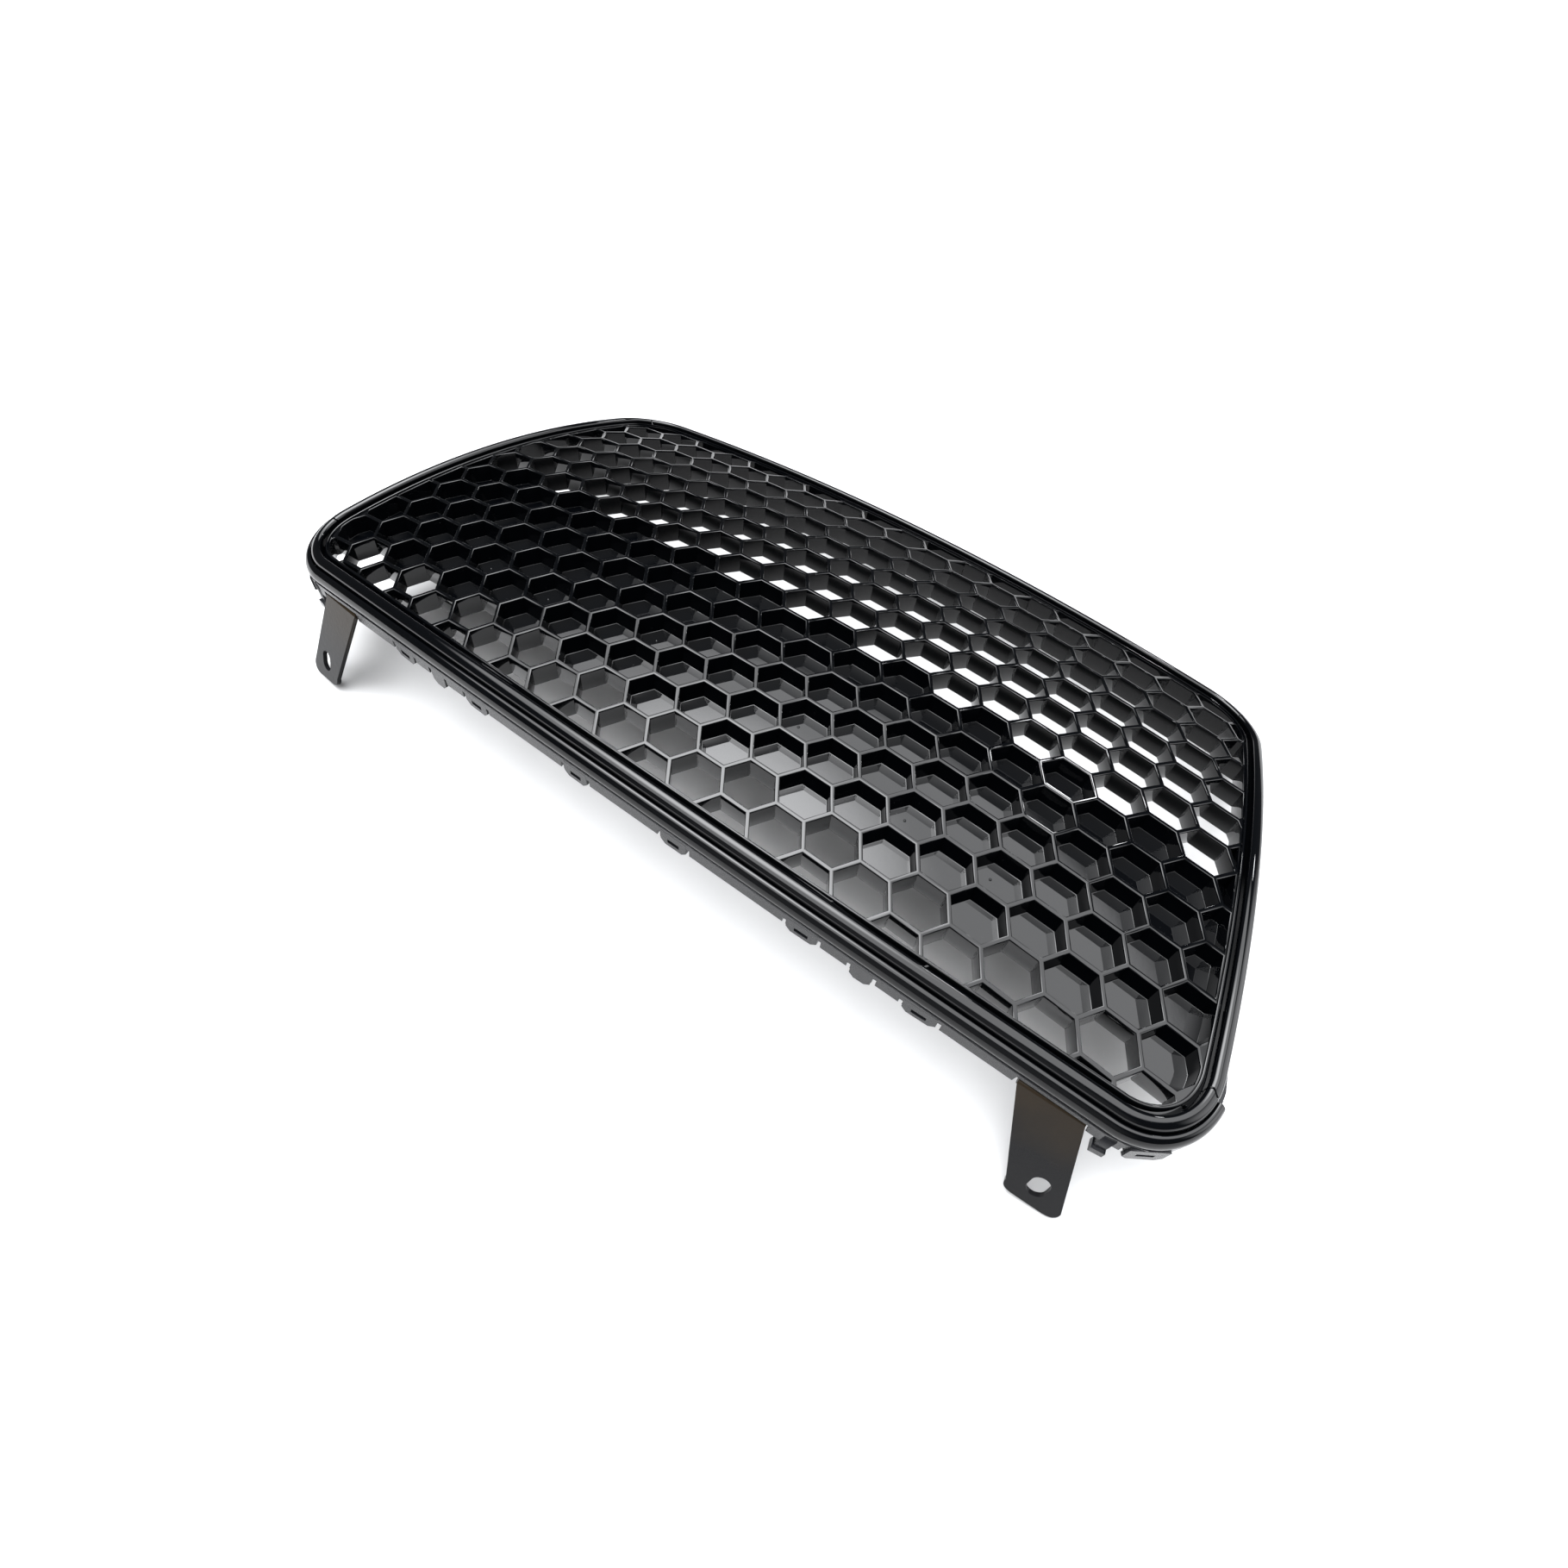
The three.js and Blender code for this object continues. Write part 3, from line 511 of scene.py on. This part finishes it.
@dataclass(frozen=True)
class FrontSurface:
    """Crowned front face: height is minus x squared over 2 Rx minus y squared over 2 Ry."""

    radius_x: float = 1716.0
    radius_y: float = 454.0

    def height(self, x: np.ndarray, y: np.ndarray) -> np.ndarray:
        """Height over the crown at plan positions."""
        return -(x * x) / (2 * self.radius_x) - (y * y) / (2 * self.radius_y)


@dataclass(frozen=True)
class Stations:
    """Places along the outline: plan point, direction out of the opening and direction along it."""

    point: np.ndarray
    out: np.ndarray
    along: np.ndarray

    def part(self, first: int, last: int) -> "Stations":
        """Stations from first to last, both kept, going on past the end where first is negative."""
        pick = np.arange(first, last + 1) % len(self.point)
        return Stations(self.point[pick], self.out[pick], self.along[pick])


@dataclass(frozen=True)
class OpeningOutline:
    """Outline of the opening as eight Bezier curves, anticlockwise seen from the front."""

    wide_middle_y: float = -118.0
    wide_bow: float = 8.9
    wide_corner: tuple[float, float] = (272.5, -107.5)
    narrow_corner: tuple[float, float] = (223.3, 137.5)
    wide_cut: float = 26.0
    narrow_cut: float = 24.0
    fullness: float = 0.56
    steps: tuple[int, ...] = (96, 28, 48, 24, 60, 24, 48, 28)

    def controls(self) -> list[np.ndarray]:
        """Control points of the eight curves: a quadratic, lines and cubic corners."""
        mirror = np.array([-1.0, 1.0])
        wide, narrow = np.array(self.wide_corner), np.array(self.narrow_corner)
        middle = np.array([0.0, self.wide_middle_y - self.wide_bow * 1.1])
        to_middle = (middle - wide) / np.linalg.norm(middle - wide)
        up = (narrow - wide) / np.linalg.norm(narrow - wide)
        wide_end = wide + to_middle * self.wide_cut
        side_start, side_end = wide + up * self.wide_cut, narrow - up * self.narrow_cut
        far_start = narrow - np.array([self.narrow_cut, 0.0])

        def corner(start: np.ndarray, apex: np.ndarray, end: np.ndarray) -> np.ndarray:
            """Cubic from start to end with its handles towards the apex."""
            f = self.fullness
            return np.array([start, start + (apex - start) * f, end + (apex - end) * f, end])

        return [
            np.array([wide_end * mirror, middle, wide_end]),
            corner(wide_end, wide, side_start),
            np.array([side_start, side_end]),
            corner(side_end, narrow, far_start),
            np.array([far_start, far_start * mirror]),
            corner(far_start * mirror, narrow * mirror, side_end * mirror),
            np.array([side_end * mirror, side_start * mirror]),
            corner(side_start * mirror, wide * mirror, wide_end * mirror),
        ]

    def start_of(self, curve: int) -> int:
        """Number of the station where a curve starts."""
        return sum(self.steps[:curve])

    def at(self, curve: int, share: np.ndarray) -> Stations:
        """Stations at Bezier parameters of one curve, by de Casteljau's blends of its control points."""
        t = np.atleast_1d(np.asarray(share, float))[:, None]
        level = [np.broadcast_to(p, (len(t), 2)) for p in self.controls()[curve]]
        while len(level) > 2:
            level = [a * (1 - t) + b * t for a, b in zip(level, level[1:])]
        point = level[0] * (1 - t) + level[1] * t
        along = level[1] - level[0]
        along = along / np.linalg.norm(along, axis=1, keepdims=True)
        return Stations(point, np.column_stack([along[:, 1], -along[:, 0]]), along)

    def ring(self) -> Stations:
        """Stations right round the opening."""
        parts = [self.at(i, np.arange(n) / n) for i, n in enumerate(self.steps)]
        return Stations(*(np.vstack([getattr(p, k) for p in parts]) for k in ("point", "out", "along")))


@dataclass(frozen=True)
class Shell:
    """Front surface and outline together: the places that every swept part is made in."""

    surface: FrontSurface
    outline: OpeningOutline

    def sweep(self, where: Stations, section: np.ndarray, shift: np.ndarray | None = None) -> np.ndarray:
        """Carries a section along the outline.

        A point is the station moved out by the section's first number and along by the shift, at the
        height of the front surface there plus the section's second number.

        Args:
            where: The stations.
            section: (points, 2) for one section, or (stations, points, 2) where it changes.
            shift: (stations, points) distances along the outline, or None.

        Returns:
            (stations, points, 3) array.
        """
        if section.ndim == 2:
            section = np.broadcast_to(section, (len(where.point), *section.shape))
        flat = where.point[:, None] + where.out[:, None] * section[..., :1]
        if shift is not None:
            flat = flat + where.along[:, None] * shift[..., None]
        height = self.surface.height(flat[..., 0], flat[..., 1]) + section[..., 1]
        return np.concatenate([flat, height[..., None]], -1)


def rounded(section: Sequence[Sequence[float]], cuts: int, keep: Sequence[int] = ()) -> np.ndarray:
    """Rounds a closed section by cutting its corners at a quarter and three quarters of each side.

    Args:
        section: Corners, in order.
        cuts: How often the corners are cut.
        keep: Numbers of corners that stay sharp.

    Returns:
        The rounded section's points.
    """
    points = np.array(section, float)
    hard = np.isin(np.arange(len(points)), list(keep))
    for _ in range(cuts):
        before, after = np.roll(points, 1, 0), np.roll(points, -1, 0)
        low = points * 0.75 + before * 0.25
        high = points * 0.75 + after * 0.25
        pairs = np.stack([np.where(hard[:, None], points, low), np.where(hard[:, None], points, high)], 1)
        flags = np.stack([hard, hard], 1).reshape(-1)
        flat = pairs.reshape(-1, 2)
        distinct = np.linalg.norm(flat - np.roll(flat, 1, 0), axis=1) > 1e-9
        points, hard = flat[distinct], flags[distinct]
    return points


# ---------------------------------------------------------------- honeycomb insert


@dataclass(frozen=True)
class Pip:
    """A small moulding dome: its radius, where it stands over the front surface, and its rise."""

    radius: float
    base: float
    rise: float
    around: int = 16
    upwards: int = 6
    tip: float = 0.02


@dataclass
class HoneycombInsert:
    """Crowned mesh of six-sided cells, blind across its middle, with a thin lip and a flange round it."""

    shell: Shell
    pitch_x: float = 23.2
    pitch_y: float = 22.0
    start_y: float = -8.5
    depth: float = 12.0
    border: float = 0.25
    smallest_opening: float = 5.0
    smallest_cap: float = 0.5
    blind_between: tuple[float, float] = (-86.0, 3.0)
    # How far a cell looks for the outline, and how far outside it a centre may lie, in column pitches.
    outline_reach: float = 1.15
    centre_beyond: float = 0.7
    tangent_step_degrees: float = 5.0
    # From the middle of a wall's front edge, over its rounded shoulder, down its face and to its back
    # edge: distance from the wall's middle and height over the front surface.
    wall: Pairs = (
        (0.0, 0.0),
        (0.62, 0.0),
        (0.86, -0.1),
        (1.02, -0.34),
        (1.1, -0.75),
        (0.98, -11.4),
        (0.7, -12.0),
        (0.0, -12.0),
    )
    # The same for a blind cell, ending on the floor of its pocket.
    pocket: Pairs = (
        (0.0, 0.0),
        (0.62, 0.0),
        (0.86, -0.1),
        (1.02, -0.34),
        (1.1, -0.75),
        (1.16, -10.25),
        (1.24, -10.43),
        (1.42, -10.5),
        (1.6, -10.5),
    )
    lip: Pairs = (
        (0.0, -12.0),
        (0.0, 0.55),
        (0.2, 0.95),
        (0.5, 1.1),
        (0.9, 1.1),
        (1.2, 0.95),
        (1.4, 0.55),
        (1.4, -2.6),
        (8.8, -2.6),
        (8.8, -4.6),
        (1.4, -4.6),
        (1.4, -12.0),
    )
    # Curve of the outline and share along it of the pips in the groove outside the lip.
    rim_pips: tuple[tuple[int, float], ...] = ((1, 0.62), (3, 0.25), (5, 0.75))
    rim_pip: Pip = Pip(radius=0.75, base=-2.7, rise=2.6)
    rim_pip_out: float = 2.35
    # Column and row of the blind cells whose floors carry a moulding pip, and its place from the centre.
    floor_pips: tuple[tuple[int, int], ...] = ((5, -3), (7, -3), (-2, -2), (2, -2), (-5, -3), (-7, -3))
    floor_pip: Pip = Pip(radius=0.7, base=-10.6, rise=0.55)
    floor_pip_place: tuple[float, float] = (-4.5, 1.5)

    def cell_lines(self) -> tuple[np.ndarray, np.ndarray]:
        """Outward normals and distances of the six sides of a whole cell, wall middles included."""
        half = self.pitch_y / 2
        reach = self.pitch_x * 2 / 3
        upper = np.array([[reach, 0], [reach / 2, half], [-reach / 2, half]])
        corners = np.vstack([upper, -upper])
        side = np.roll(corners, -1, 0) - corners
        normal = np.column_stack([side[:, 1], -side[:, 0]])
        normal /= np.linalg.norm(normal, axis=1, keepdims=True)
        return normal, (normal * corners).sum(1)

    @staticmethod
    def clip(normal: np.ndarray, distance: np.ndarray) -> np.ndarray | None:
        """Numbers of the lines that bound the shape in which every normal times p is under its distance.

        The lines are taken in order of direction; a line whose crossing with its neighbours lies
        beyond their own crossing is dropped until none is.

        Args:
            normal: (lines, 2) outward normals.
            distance: Distance of each line from the origin, which may lie outside the shape.

        Returns:
            The numbers in order of direction, or None where no area is left.
        """
        order = list(np.argsort(np.arctan2(normal[:, 1], normal[:, 0])))
        changed = True
        while changed and len(order) > 2:
            changed = False
            for place, line in enumerate(order):
                a, b = order[place - 1], order[(place + 1) % len(order)]
                cross = normal[a, 0] * normal[b, 1] - normal[a, 1] * normal[b, 0]
                if cross <= 1e-9:
                    continue
                point = np.array(
                    [
                        distance[a] * normal[b, 1] - distance[b] * normal[a, 1],
                        distance[b] * normal[a, 0] - distance[a] * normal[b, 0],
                    ]
                ) / cross
                if normal[line] @ point <= distance[line] + 1e-6:
                    order.pop(place)
                    changed = True
                    break
        return np.array(order) if len(order) > 2 else None

    @staticmethod
    def corners(normal: np.ndarray, distance: np.ndarray) -> np.ndarray:
        """Crossings of each line with the next; distance may be (rings, lines)."""
        n2, d2 = np.roll(normal, -1, 0), np.roll(distance, -1, -1)
        cross = normal[:, 0] * n2[:, 1] - normal[:, 1] * n2[:, 0]
        x = (distance * n2[:, 1] - d2 * normal[:, 1]) / cross
        y = (d2 * normal[:, 0] - distance * n2[:, 0]) / cross
        return np.stack([x, y], -1)

    def outline_lines(self, centre: np.ndarray, ring: Stations) -> tuple[np.ndarray, np.ndarray]:
        """Tangents of the outline that come near a cell, as normals and distances from its centre."""
        away = np.linalg.norm(ring.point - centre, axis=1)
        near = np.nonzero(away < self.pitch_x * self.outline_reach)[0]
        if not len(near):
            return np.zeros((0, 2)), np.zeros(0)
        runs = np.split(near, np.nonzero(np.diff(near) > 1)[0] + 1)
        if len(runs) > 1 and runs[0][0] == 0 and runs[-1][-1] == len(ring.point) - 1:
            runs = [np.concatenate([runs[-1], runs[0]])] + runs[1:-1]
        run = np.concatenate(runs)
        normal = ring.out[run]
        distance = (normal * (ring.point[run] - centre)).sum(1)
        turned = math.cos(math.radians(self.tangent_step_degrees))
        keep = [0]
        for i in range(1, len(run)):
            if normal[keep[-1]] @ normal[i] < turned:
                keep.append(i)
        return normal[keep], distance[keep]

    def cap(self, centre: np.ndarray, normal: np.ndarray, distance: np.ndarray) -> Patch | None:
        """A solid plug in place of a cell that the outline leaves too small to open, or None."""
        sides = self.clip(normal, distance)
        if sides is None:
            return None
        flat = self.corners(normal[sides], distance[sides]) + centre
        if polygon_area(flat) < self.smallest_cap:
            return None
        top = np.column_stack([flat, self.shell.surface.height(flat[:, 0], flat[:, 1])])
        return grid_patch(np.stack([top, top - [0, 0, self.depth]]), False, True, caps=True)

    def cell(self, centre: np.ndarray, ring: Stations) -> Patch | None:
        """One cell: rings from the middle of its walls' front edges, down inside, to their back edges.

        Ring points are the crossings of the cell's sides, each side moved inwards by the wall's
        distance at that ring. A blind cell also gets a floor and a back.

        Args:
            centre: The cell's centre in plan.
            ring: Stations right round the opening.

        Returns:
            The cell, a plug where its opening would be too small, or None.
        """
        blind = self.blind_between[0] < centre[1] < self.blind_between[1]
        inset, heights = np.array(self.pocket if blind else self.wall).T
        hexagon, reach = self.cell_lines()
        edge, edge_distance = self.outline_lines(centre, ring)
        normal = np.vstack([hexagon, edge])
        distance = np.concatenate([reach, edge_distance + self.border])
        sides = self.clip(normal, distance - inset.max())
        opening = 0.0
        if sides is not None:
            opening = polygon_area(self.corners(normal[sides], distance[sides] - inset.max()))
        if opening <= self.smallest_opening:
            return self.cap(centre, normal, distance)
        flat = self.corners(normal[sides], distance[sides][None] - inset[:, None]) + centre
        height = self.shell.surface.height(flat[..., 0], flat[..., 1]) + heights[:, None]
        inside = grid_patch(np.concatenate([flat, height[..., None]], -1), False, True)
        if not blind:
            return inside
        count = len(sides)
        inside.faces.append(tuple(range((len(inset) - 1) * count, len(inset) * count)))
        back = np.column_stack([flat[0], height[0] - self.depth])
        return Patch.join([inside, Patch(back, [tuple(range(count))])])

    def cells(self) -> Patch:
        """Every cell that reaches into the opening."""
        ring = self.shell.outline.ring()
        columns = int(self.shell.outline.wide_corner[0] / self.pitch_x) + 1
        rows = int(self.shell.outline.narrow_corner[1] / self.pitch_y) + 2
        made = []
        for column in range(-columns, columns + 1):
            shift = 0.0 if column % 2 == 0 else self.pitch_y / 2
            for row in range(-rows, rows + 1):
                centre = np.array([column * self.pitch_x, self.start_y + shift + row * self.pitch_y])
                beyond = ((centre - ring.point) * ring.out).sum(1).max()
                near = beyond < self.pitch_x * self.centre_beyond
                patch = self.cell(centre, ring) if near else None
                if patch is not None:
                    made.append(patch)
        LOG.info("honeycomb: %d cells", len(made))
        return Patch.join(made)

    def dome(self, centre: np.ndarray, pip: Pip) -> Patch:
        """A pip: its radius falls as the cosine of an angle while its height rises as the sine."""
        angle = np.linspace(0, 2 * np.pi, pip.around, endpoint=False)[None, :]
        climb = np.linspace(0, np.pi / 2, pip.upwards)[:, None]
        reach = pip.radius * np.cos(climb) + pip.tip
        x, y = centre[0] + reach * np.cos(angle), centre[1] + reach * np.sin(angle)
        z = self.shell.surface.height(x, y) + pip.base + pip.rise * np.sin(climb)
        return grid_patch(np.stack([x, y, z], -1), False, True, caps=True)

    def pips(self) -> list[Patch]:
        """Moulding pips in the groove outside the lip and on the floors of some blind cells."""
        made = []
        for curve, share in self.rim_pips:
            place = self.shell.outline.at(curve, np.array([share]))
            made.append(self.dome((place.point + place.out * self.rim_pip_out)[0], self.rim_pip))
        for column, row in self.floor_pips:
            shift = 0.5 * (column % 2)
            centre = np.array([column * self.pitch_x, self.start_y + (row + shift) * self.pitch_y])
            made.append(self.dome(centre + self.floor_pip_place, self.floor_pip))
        return made

    def build(self, maker: Maker) -> None:
        """Makes the insert as one piece."""
        lip = self.shell.sweep(self.shell.outline.ring(), np.array(self.lip))
        patch = Patch.join([self.cells(), grid_patch(lip, True, True), *self.pips()])
        maker.piece("honeycomb_mesh", patch, Slot.GLOSS, "honeycomb_insert", crease=40.0)


# ---------------------------------------------------------------- surround and bead


@dataclass
class Surround:
    """Gloss trim in four lengths with wavy joints, and the heavy bead along the wide edge."""

    shell: Shell
    gap: float = 0.3
    joint_wave: float = 0.9
    joint_reach: int = 3
    end_rounding: float = 0.35
    # How far round a corner the joints lie, counted from the side of the opening.
    wide_joint: float = 1 / 7
    narrow_joint: float = 1 / 2
    corner_cuts: int = 3
    trim_sharp: tuple[int, ...] = (0, 1)
    trim: Pairs = (
        (3.4, -2.3),
        (9.6, -2.3),
        (9.6, 1.2),
        (8.9, 2.7),
        (7.5, 3.5),
        (5.7, 3.7),
        (4.2, 3.1),
        (3.4, 1.9),
    )
    bead: Pairs = (
        (9.9, -5.8),
        (10.7, -6.8),
        (13.0, -6.8),
        (14.3, -5.0),
        (14.6, -3.4),
        (14.2, -1.6),
        (13.3, -0.1),
        (12.1, 0.8),
        (10.8, 0.8),
        (9.9, 0.0),
    )

    def length(self, first: int, last: int, section: np.ndarray, wave: float) -> Patch:
        """A closed length of a section from one station to another.

        Both ends draw in: the end section is shrunk towards its middle, and each point is shifted
        along the outline by half the gap plus a sine of its distance out, fading over a few stations.

        Args:
            first: Station of the start.
            last: Station of the end.
            section: Closed section.
            wave: Height of the joint's wave.

        Returns:
            The patch, with its ends closed.
        """
        where = self.shell.outline.ring().part(first, last)
        count = len(where.point)
        places = np.concatenate([[0, 0], np.arange(1, count - 1), [count - 1, count - 1]])
        where = Stations(where.point[places], where.out[places], where.along[places])
        middle = section.mean(0)
        sections = np.repeat(section[None], len(places), 0)
        ends = [0, len(places) - 1]
        size = np.linalg.norm(section - middle, axis=1, keepdims=True)
        sections[ends] = middle + (section - middle) * (1 - self.end_rounding / size)
        across = (section[:, 0] - section[:, 0].min()) / np.ptp(section[:, 0])
        swing = wave * np.sin(2 * np.pi * across)
        order = np.arange(len(places), dtype=float)
        fade_in = np.clip(1 - (order - 1) / self.joint_reach, 0, 1)
        fade_out = np.clip(1 - (len(places) - 2 - order) / self.joint_reach, 0, 1)
        shift = (fade_in + fade_out)[:, None] * swing[None, :]
        shift[0] += self.gap / 2
        shift[1] += self.gap / 2 + self.end_rounding
        shift[-2] -= self.gap / 2 + self.end_rounding
        shift[-1] -= self.gap / 2
        return grid_patch(self.shell.sweep(where, sections, shift), False, True, caps=True)

    def build(self, maker: Maker) -> None:
        """Makes the four lengths of trim and the bead."""
        outline = self.shell.outline
        right_low = outline.start_of(2) - round(outline.steps[1] * self.wide_joint)
        right_high = outline.start_of(3) + round(outline.steps[3] * self.narrow_joint)
        left_high = outline.start_of(6) - round(outline.steps[5] * self.narrow_joint)
        left_low = outline.start_of(7) + round(outline.steps[7] * self.wide_joint)
        total = sum(outline.steps)
        trim = rounded(self.trim, self.corner_cuts, self.trim_sharp)
        bead = rounded(self.bead, self.corner_cuts)
        lengths = {
            "wide_edge": (left_low - total, right_low),
            "right_side": (right_low, right_high),
            "narrow_edge": (right_high, left_high),
            "left_side": (left_high, left_low),
        }
        for name, (first, last) in lengths.items():
            patch = self.length(first, last, trim, self.joint_wave)
            maker.piece(f"trim_{name}", patch, Slot.GLOSS, f"surround_{name}")
        patch = self.length(left_low - total, right_low, bead, 0.0)
        maker.piece("bead", patch, Slot.GLOSS, "wide_edge_bead")


# ---------------------------------------------------------------- carrier, brackets, fasteners


@dataclass
class Carrier:
    """Rear carrier with its skirt, snap tabs and pegs."""

    def build(self, maker: Maker) -> None:
        """Makes the carrier from its CAD node, with smooth shading."""
        maker.copy_of_node("carrier", "rear_carrier", Slot.SATIN)


@dataclass
class Brackets:
    """The two bent sheet brackets."""

    rounding: float = 0.3

    def build(self, maker: Maker) -> None:
        """Makes the brackets from their CAD nodes, with rounded edges."""
        for side in ("right", "left"):
            maker.copy_of_node(f"sheet_bracket_{side}", f"bracket_{side}", Slot.STEEL, self.rounding)


@dataclass
class Fasteners:
    """Screws and bolts, which keep their CAD shapes."""

    def build(self, maker: Maker) -> None:
        """Gives every fastener its zinc finish."""
        for name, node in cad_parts.items():
            if name.startswith(("clamp_screw", "bracket_bolt")):
                node.data.materials.clear()
                node.data.materials.append(maker.material(Slot.ZINC))


# ---------------------------------------------------------------- studio


@dataclass(frozen=True)
class Glow:
    """A round soft light in the room: where it is, how bright, and the two angles it fades between."""

    towards: tuple[float, float, float]
    radiance: float
    full_degrees: float
    end_degrees: float

    def share(self, graph: Graph, direction: Value) -> Value:
        """Its brightness by direction: the angle's cosine, ramped from the outer to the inner angle."""
        towards = tuple(Vector(self.towards).normalized())
        facing = graph.add(
            "ShaderNodeVectorMath", {"operation": "DOT_PRODUCT"}, {0: direction, 1: towards}, "Value"
        )
        full, end = (math.cos(math.radians(a)) for a in (self.full_degrees, self.end_degrees))
        ramp = {0: facing, 1: end, 2: full, 3: 0.0, 4: self.radiance}
        return graph.add("ShaderNodeMapRange", {"interpolation_type": "SMOOTHSTEP"}, ramp)


@dataclass
class Studio:
    """Pale floor, soft light and the camera."""

    floor_size: float = 60.0
    floor_points: int = 33
    floor_drop: float = 0.0002
    rim_dip: float = 0.02
    rim_from: float = 0.7
    paper: StudioPaper = StudioPaper("studio_paper", 0.38)
    light_colour: tuple[float, float, float, float] = (0.97, 0.98, 1.0, 1.0)
    room_radiance: float = 0.10
    # Wide light overhead, brighter patch in it, light at the right, faint light in front, small lamp.
    glows: tuple[Glow, ...] = (
        Glow((-0.10, 0.05, 1.0), 6.5, 39.0, 46.0),
        Glow((-0.26, 0.12, 0.95), 16.0, 6.0, 26.0),
        Glow((0.85, 0.42, 0.35), 4.5, 14.0, 34.0),
        Glow((0.10, -0.90, 0.38), 0.4, 14.0, 42.0),
        Glow((0.105, 0.80, 0.59), 60.0, 2.2, 2.8),
    )
    camera_place: tuple[float, float, float] = (0.17123534, -0.22927662, 0.40515988)
    camera_turn_degrees: tuple[float, float, float] = (30.27795337, 0.10553748, 36.589368)
    lens: float = 18.586
    sensor: float = 36.0
    clip_range: tuple[float, float] = (0.01, 200.0)

    def floor(self) -> None:
        """A large floor: flat, then falling with the square of the distance near its rim."""
        side = np.linspace(-1, 1, self.floor_points)
        x, y = np.meshgrid(side, side, indexing="ij")
        z = -self.floor_drop - self.rim_dip * np.clip(np.hypot(x, y) - self.rim_from, 0, None) ** 2
        points = np.stack([x * self.floor_size / 2, y * self.floor_size / 2, z], -1)
        faces = grid_faces(self.floor_points, self.floor_points, False, False)[:, ::-1]
        mesh = bpy.data.meshes.new("floor")
        mesh.from_pydata(points.reshape(-1, 3), [], faces.tolist())
        mesh.update()
        floor = bpy.data.objects.new("floor", mesh)
        bpy.context.scene.collection.objects.link(floor)
        floor.data.materials.append(self.paper.make())

    def light(self) -> None:
        """A dim room with the studio's glows in it."""
        world = bpy.data.worlds.new("studio")
        bpy.context.scene.world = world
        world.use_nodes = True
        graph = Graph(world.node_tree)
        direction = graph.add("ShaderNodeTexCoord", output="Generated")
        total = sum((glow.share(graph, direction) for glow in self.glows), self.room_radiance)
        light = graph.add("ShaderNodeBackground", None, {"Color": self.light_colour, "Strength": total})
        graph.add("ShaderNodeOutputWorld", None, {"Surface": light})
        bpy.context.scene.view_settings.view_transform = "Standard"

    def camera(self) -> None:
        """The scene's camera, without shift or depth of field."""
        data = bpy.data.cameras.new("camera")
        data.sensor_width = self.sensor
        data.lens = self.lens
        data.clip_start, data.clip_end = self.clip_range
        camera = bpy.data.objects.new("camera", data)
        camera.location = self.camera_place
        camera.rotation_euler = tuple(math.radians(a) for a in self.camera_turn_degrees)
        bpy.context.scene.collection.objects.link(camera)
        bpy.context.scene.camera = camera

    def build(self) -> None:
        """Sets the whole studio up."""
        self.floor()
        self.light()
        self.camera()


def main() -> None:
    """Builds the grille's pieces in order and sets the studio up."""
    logging.basicConfig(level=logging.INFO, format="%(name)s: %(message)s")
    maker = Maker(RestingFrame())
    shell = Shell(FrontSurface(), OpeningOutline())
    HoneycombInsert(shell).build(maker)
    Surround(shell).build(maker)
    Carrier().build(maker)
    Brackets().build(maker)
    Fasteners().build(maker)
    Studio().build()


if __name__ == "__main__":
    main()
